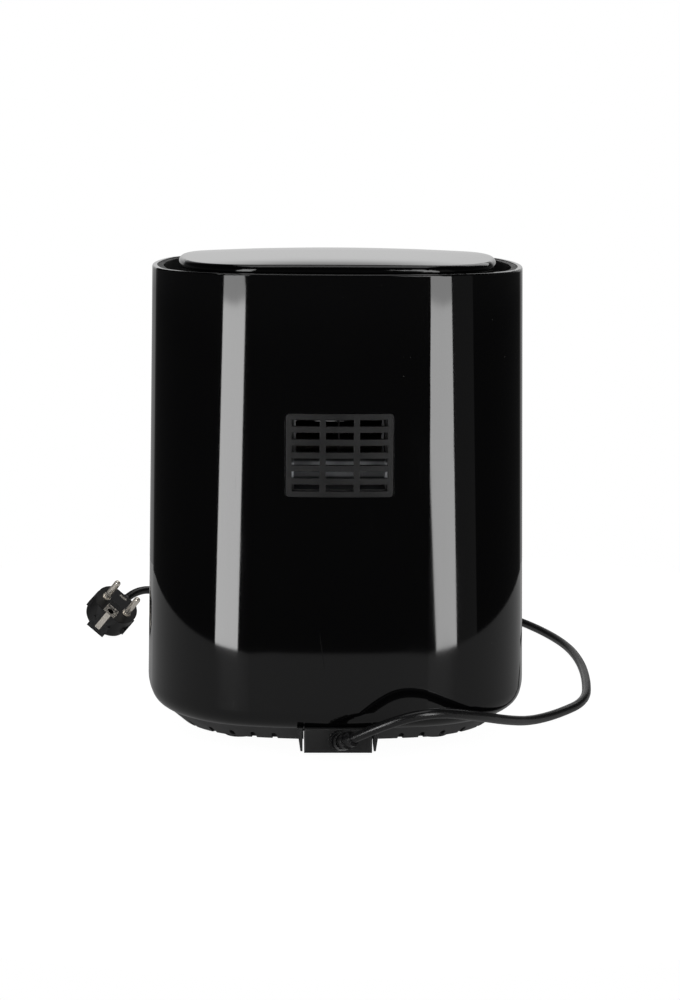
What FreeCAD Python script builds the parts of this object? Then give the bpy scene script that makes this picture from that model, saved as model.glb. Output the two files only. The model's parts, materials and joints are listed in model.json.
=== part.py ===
import FreeCAD, Part
import math
import os

from FreeCAD import Vector

# A basket air fryer: a tapered soft-square body that stands on four feet.
# Millimetres, +Z up, front towards -Y. Pieces are modelled about the body's own
# upright axis and moved back by BODY_Y on export, which puts the origin under
# the middle of the whole appliance, on the surface that it stands on.

# Body
BODY_WIDTH = 240.0
BODY_DEPTH = 258.0
BODY_CORNER_R = 78.0
END_BOW_R = 267.0
SIDE_BOW_R = 338.0
TAPER = 4.5
WALL = 3.0
BASE_Z = 9.8
SEAM_Z = 19.5
CHIN_TOP_Z = 30.5
CHIN_R = 12.0
RIM_Z = 289.0
RIM_ROUND = 1.0
SLIP = 0.3

# Top deck and cover
RIM_BAND = 7.0
DECK_WALL = 2.5
DECK_DEPTH = 12.5
DECK_SINK = 0.5
DECK_INTAKE_R = 42.0
DECK_SLOT_WIDTH = 2.8
DECK_SLOT_PITCH = 6.2
DECK_SLOT_COUNT = 17
COVER_INSET = 16.4
COVER_SINK = 0.8
COVER_CROWN = 7.9
COVER_SPHERE_R = 1700.0
COVER_ROUND = 3.2
COVER_LIP_ROUND = 0.8
COVER_WALL = 2.5
NECK_INSET = 23.0

# Base
BASE_INSET = 19.0
BASE_STEP = 0.6
BASE_WALL = 2.5
BASE_SLOT_SHARE = 0.0529
BASE_SLOT_FIRST = 3
BASE_SLOT_LAST = 7
BASE_SLOT_WIDTH = 3.2
BASE_SLOT_TOP = 4.6
BASE_SLOT_INSET = 16.0
FOOT_R = 10.0
FOOT_SIDE = 60.0
FOOT_END = 69.0
FOOT_STEM_R = 4.0
FOOT_RECESS_R = 5.0
FOOT_RECESS = 5.0
SCREW_R = 1.75
SCREW_HEAD_R = 3.5
SCREW_HEAD = 2.4
POST_R = 6.0
POST_SIDE = 46.0
POST_END = 85.0

# Cord outlet, its boot and the lead
OUTLET_WIDTH = 40.4
OUTLET_BELOW = 3.6
OUTLET_TOP_Z = 21.5
OUTLET_SHY = 1.0
OUTLET_INNER = 38.0
OUTLET_ROUND = 1.2
CHEEK_GAP = 0.9
CHEEK_TOP = 3.4
CHEEK_FOOT = 1.3
CHEEK_BELOW = 2.4
CORD_R = 3.0
BEND_SHARE = 0.45
BOOT_Z = 14.4
BOOT_ROOT_R = 6.0
BOOT_TIP_R = 4.7
BOOT_CORE_R = 4.0
BOOT_STEM_R = 4.6
BOOT_STEM = 8.0
BOOT_BEND_R = 17.0
BOOT_BEND_DEG = 65.0
BOOT_LIFT_DEG = 32.0
BOOT_LEAD = 27.0
BOOT_RIBS = 5
BOOT_RIB = 2.4

# Plug
PLUG_R = 16.8
PLUG_DEPTH = 17.0
PLUG_FLAT = 13.5
PLUG_BACK_DEPTH = 3.0
PLUG_BACK_SHRINK = 3.0
PLUG_TAB_WIDTH = 15.0
PLUG_TAB_REACH = 17.5
PLUG_TAB_Z = -13.0
PLUG_TAB_DEPTH = 5.0
PLUG_FOOT_REACH = 19.2
PLUG_FOOT_DEPTH = 9.0
PIN_R = 2.4
PIN_LENGTH = 19.0
PIN_SPACING = 19.0
PIN_COLLAR_R = 3.4
PIN_COLLAR = 1.0
EARTH_OFFSET = 9.4
EARTH_FRAME = 10.0
EARTH_HOLE_R = 2.5
CLIP_WIDTH = 4.2
CLIP_THICK = 1.0
EARTH_HOLE_DEPTH = 14.0
UPPER_CLIP_WIDTH = 6.2
UPPER_CLIP_THICK = 1.8
UPPER_CLIP_OFFSET = 10.1
UPPER_CLIP_DEPTH = 5.0
ARM_ROOT_R = 7.0
ARM_TIP_R = 4.2
ARM_LENGTH = 18.0
ARM_TURN_DEG = 4.0
ARM_LEAD = 22.0
PLUG_AT = (158.7, -212.5)
PLUG_PINS_DIR = (-0.507, 0.516, 0.690)
PLUG_LINE_DIR = (-0.765, 0.098, -0.636)

# Corners of the lead's route between its boot and the plug, about the body's axis:
# up behind the chin, down past one flank and along the surface round the front.
CORD_CORNERS = (
    (-56.1, 152.7, 38.2),
    (-81.4, 131.0, 30.0),
    (-104.9, 91.3, 16.5),
    (-122.3, 58.5, 7.6),
    (-142.7, 25.7, 3.4),
    (-165.1, -8.0, 3.1),
    (-172.8, -63.9, 3.1),
    (-175.5, -119.9, 3.1),
    (-172.1, -169.9, 3.1),
    (-159.7, -218.1, 3.1),
    (-141.2, -262.3, 3.1),
    (-110.7, -298.7, 3.1),
    (-69.9, -321.2, 3.1),
    (-26.0, -329.7, 3.1),
    (17.0, -325.2, 3.1),
    (56.2, -313.7, 4.2),
    (88.4, -297.1, 11.5),
    (116.6, -280.4, 21.0),
)

# Rear outlet grille and its duct
GRILLE_WIDTH = 63.2
GRILLE_HEIGHT = 49.4
GRILLE_DROP = 104.7
GRILLE_ROUND = 2.6
GRILLE_PROUD = 0.6
GRILLE_COLUMNS = 3
GRILLE_ROWS = 6
GRILLE_SLOT_WIDTH = 16.3
GRILLE_SLOT_HEIGHT = 4.0
GRILLE_COLUMN_PITCH = 19.85
GRILLE_ROW_PITCH = 7.6
DUCT_WIDTH = 56.0
DUCT_HEIGHT = 43.0
DUCT_WALL = 1.2

# Cooking chamber
CHAMBER_SIDE = 22.0
CHAMBER_FRONT_GAP = 43.5
CHAMBER_REAR_GAP = 36.0
CHAMBER_Z = 45.0
CHAMBER_DROP = 75.0
CHAMBER_R = 28.0
SHEET = 1.0
RAIL_WIDTH = 7.0
RAIL_THICK = 2.0

# Drawer
DOOR_SIDE = 25.0
DOOR_Z = 44.0
DOOR_DROP = 125.0
DOOR_R = 12.0
DOOR_GAP = 1.2
FRAME_WALL = 3.0
PAN_SIDE = 32.0
PAN_FRONT_GAP = 30.0
PAN_REAR_GAP = 47.0
PAN_Z = 52.0
PAN_DROP = 147.0
PAN_R = 40.0
PAN_DRAFT = 4.5
PAN_WALL = 1.5
PAN_FOOT_R = 11.0
PAN_FLANGE = 4.0
BRACKET_WIDTH = 104.0
BRACKET_Z = 66.0
BRACKET_ABOVE = 2.0
BRACKET_WALL = 3.0
HANDLE_WIDTH = 28.0
HANDLE_REACH = 44.0
HANDLE_Z = 70.0
HANDLE_DROP = 149.0
HANDLE_GRIP = 18.0
HANDLE_ARM = 14.0
HANDLE_OUTER_SHARE = 18 / 70
HANDLE_INNER_SHARE = 9 / 42
HANDLE_EDGE = 5.0
TRIM_WIDTH = 13.0
TRIM_MARGIN = 9.0
TRIM_THICK = 1.6
BOLT_R = 2.0
BOLT_HEAD_R = 4.0
BOLT_HEAD = 3.0
BOLT_BITE = 9.0
BOLT_SEAT = 0.15

# Crisper plate
PLATE_GAP = 4.0
PLATE_THICK = 2.0
PLATE_LIFT = 12.0
PLATE_R = 34.0
PLATE_LIP = 6.0
PLATE_SLOT_WIDTH = 4.0
PLATE_SLOT_LENGTH = 21.0
PLATE_SLOT_ROWS = 9
PLATE_SLOT_COLUMNS = 5
PLATE_HOLE_R = 10.0
BUMPER_WIDTH = 18.0
BUMPER_THICK = 6.5
BUMPER_OVER = 2.0

# Controls
PANEL_WIDTH = 76.0
PANEL_DROP = 7.0
PANEL_HEIGHT = 109.0
PANEL_R = 28.0
PANEL_GAP = 0.4
WELL_R = 19.4
WELL_DEPTH = 4.5
WELL_WALL = 2.5
TEMPERATURE_DROP = 36.0
TIMER_DROP = 87.0
KNOB_R = 17.4
KNOB_TIP_R = 15.6
KNOB_HEIGHT = 18.0
KNOB_SKIRT = 4.0
KNOB_STANDOFF = 0.8
KNOB_ROUND = 2.0
KNOB_WEB = 2.5
KNOB_FLUTES = 24
FLUTE_R = 1.3
RING_R = 18.5
SHAFT_R = 3.0
RUNNING = 0.05
CONTROL_BOX = 38.0
CONTROL_DEPTH = 20.0
LAMP_R = 2.5
LAMP_X = 26.0
LAMP_PROUD = 0.6

# Heater, fans and motor
SHAFT_AXIS_R = 2.5
COIL_R = 3.2
COIL_CLEAR = 71.0
COIL_PITCH = 11.0
COIL_TURNS = 2
COIL_DROP = 105.0
COIL_BEND_R = 10.0
STRAP_TURNS = (90.0, 215.0, 325.0)
STRAP_THICK = 1.2
STRAP_BELOW = 6.0
STRAP_OUT = 9.0
GUARD_DROP = 116.0
GUARD_WIRE_R = 1.4
GUARD_RING_COUNT = 4
GUARD_BEND_R = 4.0
FAN_CLEAR = 8.0
FAN_HUB_R = 9.0
FAN_DROP = 95.0
FAN_BLADE = 13.0
FAN_DISC = 1.0
FAN_BLADES = 8
BLADE_THICK = 1.0
NUT_R = 5.0
NUT_HEIGHT = 4.0
MOTOR_DROP = 65.0
STANDOFF_R = 4.0
CORE_WIDTH = 58.0
CORE_FRONT = 24.0
CORE_WEB = 4.0
CORE_WINDOW = 12.0
CORE_HEIGHT = 18.0
CORE_LEG = 9.0
ROTOR_R = 14.0
ROTOR_GAP = 0.5
BRIDGE_HEIGHT = 7.0
BRIDGE_THICK = 2.0
BRIDGE_WIDTH = 16.0
BOBBIN_OVER = 5.0
COOLER_R = 38.0
COOLER_DROP = 29.0
COOLER_BLADE = 10.0
COOLER_BLADES = 7

# Derived sizes: widths and depths follow the body, heights hang from its rim, and
# the drawer takes up what is left above the base.
HALF_W = BODY_WIDTH / 2
HALF_D = BODY_DEPTH / 2
BODY_Y = HANDLE_REACH / 2
BASE_SLOT_PITCH = BASE_SLOT_SHARE * BODY_WIDTH
FOOT_X = HALF_W - FOOT_SIDE
FOOT_Y = HALF_D - FOOT_END
POST_X = HALF_W - POST_SIDE
POST_Y = HALF_D - POST_END
DECK_Z = RIM_Z - DECK_DEPTH
GRILLE_Z = RIM_Z - GRILLE_DROP
CHAMBER_WIDTH = BODY_WIDTH - 2 * CHAMBER_SIDE
CHAMBER_FRONT = CHAMBER_FRONT_GAP - HALF_D
CHAMBER_REAR = HALF_D - CHAMBER_REAR_GAP
CHAMBER_TOP_Z = RIM_Z - CHAMBER_DROP
DOOR_WIDTH = BODY_WIDTH - 2 * DOOR_SIDE
DOOR_TOP_Z = RIM_Z - DOOR_DROP
PAN_WIDTH = BODY_WIDTH - 2 * PAN_SIDE
PAN_FRONT = PAN_FRONT_GAP - HALF_D
PAN_REAR = HALF_D - PAN_REAR_GAP
PAN_TOP_Z = RIM_Z - PAN_DROP
HANDLE_TOP_Z = RIM_Z - HANDLE_DROP
BRACKET_TOP_Z = HANDLE_TOP_Z + BRACKET_ABOVE
HANDLE_OUTER_R = HANDLE_OUTER_SHARE * (HANDLE_TOP_Z - HANDLE_Z)
HANDLE_INNER_R = HANDLE_INNER_SHARE * (HANDLE_TOP_Z - HANDLE_Z - 2 * HANDLE_ARM)
PANEL_TOP_Z = RIM_Z - PANEL_DROP
PANEL_Z = PANEL_TOP_Z - PANEL_HEIGHT
KNOB_Z = {"temperature": RIM_Z - TEMPERATURE_DROP, "timer": RIM_Z - TIMER_DROP}
COIL_INNER_R = HALF_D - COIL_CLEAR
COIL_OUTER_R = COIL_INNER_R + COIL_TURNS * COIL_PITCH
COIL_Z = RIM_Z - COIL_DROP
GUARD_Z = RIM_Z - GUARD_DROP
GUARD_RINGS = [COIL_OUTER_R * n / GUARD_RING_COUNT for n in range(1, GUARD_RING_COUNT + 1)]
FAN_R = COIL_INNER_R - FAN_CLEAR
FAN_Z = RIM_Z - FAN_DROP
MOTOR_Z = RIM_Z - MOTOR_DROP
COOLER_Z = RIM_Z - COOLER_DROP
PLATE_Z = PAN_Z + PAN_WALL + PLATE_LIFT
SHIELD_Z = CHAMBER_TOP_Z
REACH = 2 * BODY_DEPTH
TINY = 1e-4


def bow_corner():
    """Centre of the corner arc that runs tangent into the end and side bows."""
    end_y = HALF_D - END_BOW_R
    side_x = HALF_W - SIDE_BOW_R
    to_end = END_BOW_R - BODY_CORNER_R
    to_side = SIDE_BOW_R - BODY_CORNER_R
    gap = math.hypot(side_x, end_y)
    along = (to_end**2 - to_side**2 + gap**2) / (2 * gap)
    off = math.sqrt(to_end**2 - along**2)
    ux, uy = side_x / gap, -end_y / gap
    return along * ux + off * uy, end_y + along * uy - off * ux


CORNER_X, CORNER_Y = bow_corner()
SIDE_DEG = math.degrees(math.atan2(CORNER_Y, CORNER_X - HALF_W + SIDE_BOW_R))
END_DEG = math.degrees(math.atan2(CORNER_Y - HALF_D + END_BOW_R, CORNER_X))


def polar(centre, radius, deg, z):
    """Point at an angle on a level circle."""
    angle = math.radians(deg)
    return Vector(
        centre[0] + radius * math.cos(angle), centre[1] + radius * math.sin(angle), z
    )


def level_arc(centre, radius, start, end, z):
    """Level arc edge, anticlockwise from start to end in degrees."""
    turns = (start, (start + end) / 2, end)
    return Part.Arc(*[polar(centre, radius, t, z) for t in turns]).toShape()


def body_outline(inset, z):
    """Closed plan outline of the body, moved in by inset, as eight tangent arcs."""
    side = HALF_W - SIDE_BOW_R
    end = HALF_D - END_BOW_R
    stretches = [
        ((side, 0), SIDE_BOW_R, -SIDE_DEG, SIDE_DEG),
        ((CORNER_X, CORNER_Y), BODY_CORNER_R, SIDE_DEG, END_DEG),
        ((0, end), END_BOW_R, END_DEG, 180 - END_DEG),
        ((-CORNER_X, CORNER_Y), BODY_CORNER_R, 180 - END_DEG, 180 - SIDE_DEG),
        ((-side, 0), SIDE_BOW_R, 180 - SIDE_DEG, 180 + SIDE_DEG),
        ((-CORNER_X, -CORNER_Y), BODY_CORNER_R, 180 + SIDE_DEG, 180 + END_DEG),
        ((0, -end), END_BOW_R, 180 + END_DEG, 360 - END_DEG),
        ((CORNER_X, -CORNER_Y), BODY_CORNER_R, 360 - END_DEG, 360 - SIDE_DEG),
    ]
    return Part.Wire([level_arc(c, r - inset, a, b, z) for c, r, a, b in stretches])


def taper_at(z):
    """How far the wall has drawn in at height z."""
    return TAPER * (z - CHIN_TOP_Z) / (RIM_Z - CHIN_TOP_Z)


def body_solid(inset, bottom, top):
    """Slice of the tapered body between two heights, moved in by inset."""
    wires = [body_outline(inset + taper_at(z), z) for z in (bottom, top)]
    return Part.makeLoft(wires, True, True)


def chin_inset(z):
    """How far the rounded chin has drawn in at height z."""
    return CHIN_R - math.sqrt(CHIN_R**2 - (CHIN_TOP_Z - z) ** 2)


def rear_y(x, inset):
    """Depth of the body's rear outline at x, moved in by inset."""
    if abs(x) > END_BOW_R * math.cos(math.radians(END_DEG)):
        return CORNER_Y + math.sqrt((BODY_CORNER_R - inset) ** 2 - (abs(x) - CORNER_X) ** 2)
    return HALF_D - END_BOW_R + math.sqrt((END_BOW_R - inset) ** 2 - x**2)


def rear_heading(x, inset):
    """Degrees that the rear outline's outward normal turns from straight back at x."""
    if abs(x) > END_BOW_R * math.cos(math.radians(END_DEG)):
        return math.degrees(math.asin((abs(x) - CORNER_X) / (BODY_CORNER_R - inset)))
    return math.degrees(math.asin(abs(x) / (END_BOW_R - inset)))


def front_y(z):
    """Depth of the body's front face on its middle line at height z."""
    return -(HALF_D - taper_at(z))


def edges_at(shape, z):
    """Edges that lie level at height z."""
    return [
        e
        for e in shape.Edges
        if all(abs(e.valueAt(p).z - z) < TINY for p in e.ParameterRange)
        and abs(e.valueAt(sum(e.ParameterRange) / 2).z - z) < TINY
    ]


def chin_body(inset):
    """Whole body with its rounded chin, moved in by inset."""
    bottom = CHIN_TOP_Z - CHIN_R + inset
    solid = body_solid(inset, bottom, RIM_Z)
    return solid.makeFillet(CHIN_R - inset, edges_at(solid, bottom))


def block(x0, x1, y0, y1, z0, z1):
    """Box between two corners."""
    return Part.makeBox(x1 - x0, y1 - y0, z1 - z0, Vector(x0, y0, z0))


def rounded_rectangle(width, low, high, radius, place):
    """Closed rectangle with round corners, drawn through place(u, v)."""
    half = width / 2
    centres = [
        (half - radius, high - radius, 0),
        (radius - half, high - radius, 90),
        (radius - half, low + radius, 180),
        (half - radius, low + radius, 270),
    ]
    edges = []
    last = None
    for u, v, start in centres:
        turns = [math.radians(start + step) for step in (0, 45, 90)]
        points = [place(u + radius * math.cos(t), v + radius * math.sin(t)) for t in turns]
        if last is not None:
            edges.append(Part.LineSegment(last, points[0]).toShape())
        edges.append(Part.Arc(*points).toShape())
        last = points[-1]
    edges.append(Part.LineSegment(last, edges[0].valueAt(edges[0].FirstParameter)).toShape())
    return Part.Wire(edges)


def level_rectangle(width, front, rear, radius, z):
    """Level rounded rectangle wire at height z."""
    return rounded_rectangle(width, front, rear, radius, lambda u, v: Vector(u, v, z))


def level_slab(width, front, rear, radius, bottom, top):
    """Upright prism on a level rounded rectangle."""
    wire = level_rectangle(width, front, rear, radius, bottom)
    return Part.Face(wire).extrude(Vector(0, 0, top - bottom))


def facing_slab(width, bottom, top, radius, front, rear):
    """Prism along Y on a rounded rectangle that faces the front."""
    wire = rounded_rectangle(width, bottom, top, radius, lambda u, v: Vector(u, front, v))
    return Part.Face(wire).extrude(Vector(0, rear - front, 0))


def upright(radius, x, y, bottom, top):
    """Upright cylinder."""
    return Part.makeCylinder(radius, top - bottom, Vector(x, y, bottom))


def along_y(radius, x, z, front, rear):
    """Cylinder that lies along Y."""
    return Part.makeCylinder(radius, rear - front, Vector(x, front, z), Vector(0, 1, 0))


def spots(x, y):
    """The four places at plus and minus x and y."""
    return [(sx * x, sy * y) for sx in (-1, 1) for sy in (-1, 1)]


def outer_housing():
    """Gloss shell with its rounded chin, cut for the drawer, panel and grille."""
    outer = chin_body(0)
    outer = outer.makeFillet(RIM_ROUND, edges_at(outer, RIM_Z))
    shell = outer.cut(chin_body(WALL))
    shell = shell.cut(block(-HALF_W, HALF_W, -HALF_D, HALF_D, 0, SEAM_Z))
    mouth = Part.Face(body_outline(chin_inset(SEAM_Z) + WALL, SEAM_Z))
    shell = shell.cut(mouth.extrude(Vector(0, 0, CHIN_R)))
    shell = shell.cut(facing_slab(DOOR_WIDTH, DOOR_Z, DOOR_TOP_Z, DOOR_R, -REACH, 0))
    shell = shell.cut(facing_slab(PANEL_WIDTH, PANEL_Z, PANEL_TOP_Z, PANEL_R, -REACH, 0))
    return shell.cut(grille_window(0))


def grille_window(gap):
    """Prism of the grille's outline, grown by gap."""
    return facing_slab(
        GRILLE_WIDTH + 2 * gap,
        GRILLE_Z - GRILLE_HEIGHT / 2 - gap,
        GRILLE_Z + GRILLE_HEIGHT / 2 + gap,
        GRILLE_ROUND + gap,
        0,
        REACH,
    )


def rear_grille():
    """Curved grille plate with a grid of slots, a little proud of the shell."""
    plate = grille_window(-SLIP).common(body_solid(-GRILLE_PROUD, CHIN_TOP_Z, RIM_Z))
    plate = plate.cut(body_solid(WALL, CHIN_TOP_Z, RIM_Z))
    slots = []
    for column in range(GRILLE_COLUMNS):
        x = (column - (GRILLE_COLUMNS - 1) / 2) * GRILLE_COLUMN_PITCH
        for row in range(GRILLE_ROWS):
            z = GRILLE_Z + (row - (GRILLE_ROWS - 1) / 2) * GRILLE_ROW_PITCH
            half_w, half_h = GRILLE_SLOT_WIDTH / 2, GRILLE_SLOT_HEIGHT / 2
            slots.append(block(x - half_w, x + half_w, 0, REACH, z - half_h, z + half_h))
    return plate.cut(Part.Compound(slots))


def exhaust_duct():
    """Sheet duct from the chamber to the grille, with a slanted deflector inside."""
    low, high = GRILLE_Z - DUCT_HEIGHT / 2, GRILLE_Z + DUCT_HEIGHT / 2
    half = DUCT_WIDTH / 2
    tube = block(-half, half, CHAMBER_REAR, HALF_D, low, high)
    hollow = block(
        DUCT_WALL - half, half - DUCT_WALL, 0, REACH, low + DUCT_WALL, high - DUCT_WALL
    )
    trimmed = tube.cut(hollow).common(body_solid(WALL + SLIP, CHIN_TOP_Z, RIM_Z))
    front, rear = CHAMBER_REAR, rear_y(half, WALL + taper_at(GRILLE_Z)) - DUCT_WALL
    slope = Part.makePolygon(
        [
            Vector(-half + DUCT_WALL / 2, front, low + DUCT_WALL / 2),
            Vector(-half + DUCT_WALL / 2, rear, GRILLE_Z - DUCT_WALL),
            Vector(-half + DUCT_WALL / 2, rear, GRILLE_Z),
            Vector(-half + DUCT_WALL / 2, front, low + 2 * DUCT_WALL),
            Vector(-half + DUCT_WALL / 2, front, low + DUCT_WALL / 2),
        ]
    )
    deflector = Part.Face(slope).extrude(Vector(DUCT_WIDTH - DUCT_WALL, 0, 0))
    return trimmed.fuse(deflector).removeSplitter()


def top_deck():
    """Tray under the cover: a band flush with the rim, a channel and air slots."""
    top = RIM_Z - DECK_SINK
    floor_top = DECK_Z + DECK_WALL
    wall_inset = RIM_BAND - DECK_WALL
    band = body_solid(WALL + SLIP, top - DECK_WALL, top)
    wall = body_solid(wall_inset, DECK_Z, top)
    deck = band.fuse(wall).cut(body_solid(RIM_BAND, floor_top, RIM_Z))
    cuts = [upright(DECK_INTAKE_R, 0, 0, 0, RIM_Z)]
    inner = HALF_W - TAPER - NECK_INSET
    outer = HALF_W - TAPER - RIM_BAND
    margin = DECK_WALL
    for number in range(DECK_SLOT_COUNT):
        y = (number - (DECK_SLOT_COUNT - 1) / 2) * DECK_SLOT_PITCH
        half = DECK_SLOT_WIDTH / 2
        for side in (-1, 1):
            ends = sorted((side * (inner + margin), side * (outer - 2 * margin)))
            cuts.append(block(*ends, y - half, y + half, 0, RIM_Z))
    return deck.cut(Part.Compound(cuts)).removeSplitter()


def crown_ball(drop):
    """Ball whose top gives the cover its crown, lowered by drop."""
    top = RIM_Z + COVER_CROWN - drop
    return Part.makeSphere(COVER_SPHERE_R, Vector(0, 0, top - COVER_SPHERE_R))


def top_cover():
    """Domed cap with a rolled edge, on a narrower neck that stands in the channel."""
    low = RIM_Z - COVER_SINK
    high = RIM_Z + 2 * COVER_CROWN
    dome = body_solid(COVER_INSET, low, high).common(crown_ball(0))
    rolled = [e for e in dome.Edges if e.BoundBox.ZMin > low + COVER_WALL]
    upper = [e for e in rolled if e.BoundBox.ZLength < COVER_CROWN / 2]
    dome = dome.makeFillet(COVER_ROUND, upper)
    dome = dome.makeFillet(COVER_LIP_ROUND, edges_at(dome, low))
    neck = body_solid(NECK_INSET, DECK_Z + DECK_WALL, low + COVER_WALL)
    inside = NECK_INSET + COVER_WALL
    cavity = body_solid(inside, 0, low + COVER_WALL)
    roof = body_solid(inside, low + COVER_WALL - TINY, high).common(crown_ball(COVER_WALL))
    return dome.fuse(neck).cut(cavity.fuse(roof)).removeSplitter()


def base_cover():
    """Sloped bottom tray with air slots, chamber posts and a notch for the outlet."""
    outer = Part.makeLoft(
        [
            body_outline(chin_inset(SEAM_Z) + BASE_STEP, SEAM_Z),
            body_outline(BASE_INSET, BASE_Z),
        ],
        True,
        True,
    )
    inner = Part.makeLoft(
        [
            body_outline(chin_inset(SEAM_Z) + BASE_STEP + BASE_WALL, SEAM_Z + BASE_WALL),
            body_outline(BASE_INSET + BASE_WALL, BASE_Z + BASE_WALL),
        ],
        True,
        True,
    )
    tray = outer.cut(inner)
    posts = [upright(POST_R, x, y, BASE_Z, CHAMBER_Z) for x, y in spots(POST_X, POST_Y)]
    tray = tray.multiFuse(posts + [cheek(side) for side in (-1, 1)])
    cuts = []
    for number in range(BASE_SLOT_FIRST, BASE_SLOT_LAST + 1):
        cuts.extend(base_slot(side, number * BASE_SLOT_PITCH) for side in (-1, 1))
    for x, y in spots(FOOT_X, FOOT_Y):
        cuts.append(upright(FOOT_STEM_R + SLIP, x, y, 0, BASE_Z + 2 * BASE_WALL))
    notch = OUTLET_WIDTH / 2 + SLIP
    cuts.append(block(-notch, notch, HALF_D - OUTLET_INNER - SLIP, HALF_D, 0, SEAM_Z + CHIN_R))
    return tray.cut(Part.Compound(cuts)).removeSplitter()


def base_slot(side, x):
    """Round-topped air slot that runs square through the tray's sloped edge at x."""
    half = BASE_SLOT_WIDTH / 2
    top = BASE_Z + BASE_SLOT_TOP - half
    deg = rear_heading(x, BASE_SLOT_INSET)
    inner = BASE_SLOT_INSET - BASE_INSET - BASE_WALL - SLIP
    slot = block(-half, half, inner, BASE_SLOT_INSET, 0, top)
    slot = slot.fuse(along_y(half, 0, top, inner, BASE_SLOT_INSET))
    slot.rotate(Vector(0, 0, 0), Vector(0, 0, 1), -side * deg)
    return slot.translated(Vector(side * x, rear_y(x, BASE_SLOT_INSET), 0))


def cheek(side):
    """Tapered fin of the tray that guards one flank of the cord outlet."""
    inner = OUTLET_WIDTH / 2 + CHEEK_GAP
    rear = HALF_D - OUTLET_SHY - SLIP
    low = BASE_Z - CHEEK_BELOW
    outline = [
        (inner, low),
        (inner + CHEEK_FOOT, low),
        (inner + CHEEK_TOP, OUTLET_TOP_Z),
        (inner, OUTLET_TOP_Z),
        (inner, low),
    ]
    front = rear_y(inner, BASE_INSET) - BASE_WALL
    wire = Part.makePolygon([Vector(side * x, front, z) for x, z in outline])
    fin = Part.Face(wire).extrude(Vector(0, rear - front, 0))
    return fin.cut(chin_body(-SLIP)).Solids[0]


def cord_outlet():
    """Block under the chin that anchors the lead and keeps the back off the wall."""
    half = OUTLET_WIDTH / 2
    rear = HALF_D - OUTLET_SHY
    body = block(-half, half, HALF_D - OUTLET_INNER, rear, BASE_Z - OUTLET_BELOW, OUTLET_TOP_Z)
    rear_edges = [e for e in body.Edges if e.BoundBox.YMin > rear - TINY]
    body = body.makeFillet(OUTLET_ROUND, rear_edges)
    body = body.cut(chin_body(-SLIP))
    body = max(body.Solids, key=lambda s: s.Volume)
    socket = along_y(BOOT_STEM_R + RUNNING, 0, BOOT_Z, rear - BOOT_STEM, HALF_D)
    return body.cut(socket)


def boot_path():
    """Centreline of the boot: the place and the heading at an angle of its bend."""
    start = Vector(0, HALF_D - OUTLET_SHY, BOOT_Z)
    lift = math.radians(BOOT_LIFT_DEG)
    sideways = Vector(-math.cos(lift), 0, math.sin(lift))

    def at(deg):
        turn = math.radians(deg)
        back = Vector(0, BOOT_BEND_R * math.sin(turn), 0)
        return start + back + sideways * (BOOT_BEND_R * (1 - math.cos(turn)))

    def heading(deg):
        turn = math.radians(deg)
        return Vector(0, math.cos(turn), 0) + sideways * math.sin(turn)

    return at, heading


def strain_relief():
    """Bent boot with a stem in the outlet, a core and ribs that shrink to its tip."""
    at, heading = boot_path()
    bend = Part.Arc(at(0), at(BOOT_BEND_DEG / 2), at(BOOT_BEND_DEG)).toShape()
    ring = Part.Wire(Part.makeCircle(BOOT_CORE_R, at(0), heading(0)))
    core = Part.Wire(bend).makePipeShell([ring], True)
    pieces = [along_y(BOOT_STEM_R, 0, BOOT_Z, at(0).y - BOOT_STEM + SLIP, at(0).y)]
    for rib in range(BOOT_RIBS):
        share = rib / (BOOT_RIBS - 1)
        deg = share * (BOOT_BEND_DEG - math.degrees(BOOT_RIB / BOOT_BEND_R))
        radius = BOOT_ROOT_R + share * (BOOT_TIP_R - BOOT_ROOT_R)
        pieces.append(Part.makeCylinder(radius, BOOT_RIB, at(deg), heading(deg)))
    boot = core.multiFuse(pieces)
    past_tip = Part.makeCylinder(BOOT_ROOT_R, BOOT_RIB, at(BOOT_BEND_DEG), heading(BOOT_BEND_DEG))
    return boot.cut(past_tip).removeSplitter()


def plug_frame():
    """Placement that lays the plug down: local Z along the pins, X along their row."""
    z_axis = Vector(*PLUG_PINS_DIR).normalize()
    x_axis = Vector(*PLUG_LINE_DIR)
    x_axis = (x_axis - z_axis * x_axis.dot(z_axis)).normalize()
    y_axis = z_axis.cross(x_axis)
    rotation = FreeCAD.Rotation(x_axis, y_axis, z_axis, "ZXY")
    tilted = plug_body_local()
    tilted.Placement = FreeCAD.Placement(Vector(0, 0, 0), rotation)
    lowest = tilted.optimalBoundingBox().ZMin
    return FreeCAD.Placement(Vector(*PLUG_AT, -lowest), rotation)


def plug_flank(depth, thick):
    """Strip of the plug's sloped flank from the face down, thick inwards, as wide as a clip."""
    slope = (PLUG_FOOT_REACH - PLUG_FLAT) / PLUG_DEPTH
    foot = -PLUG_FLAT - slope * depth
    outline = [(-PLUG_FLAT, 0), (foot, -depth), (foot + thick, -depth), (thick - PLUG_FLAT, 0)]
    half = CLIP_WIDTH / 2
    wire = Part.makePolygon([Vector(-half, y, z) for y, z in outline + outline[:1]])
    return Part.Face(wire).extrude(Vector(CLIP_WIDTH, 0, 0))


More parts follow.
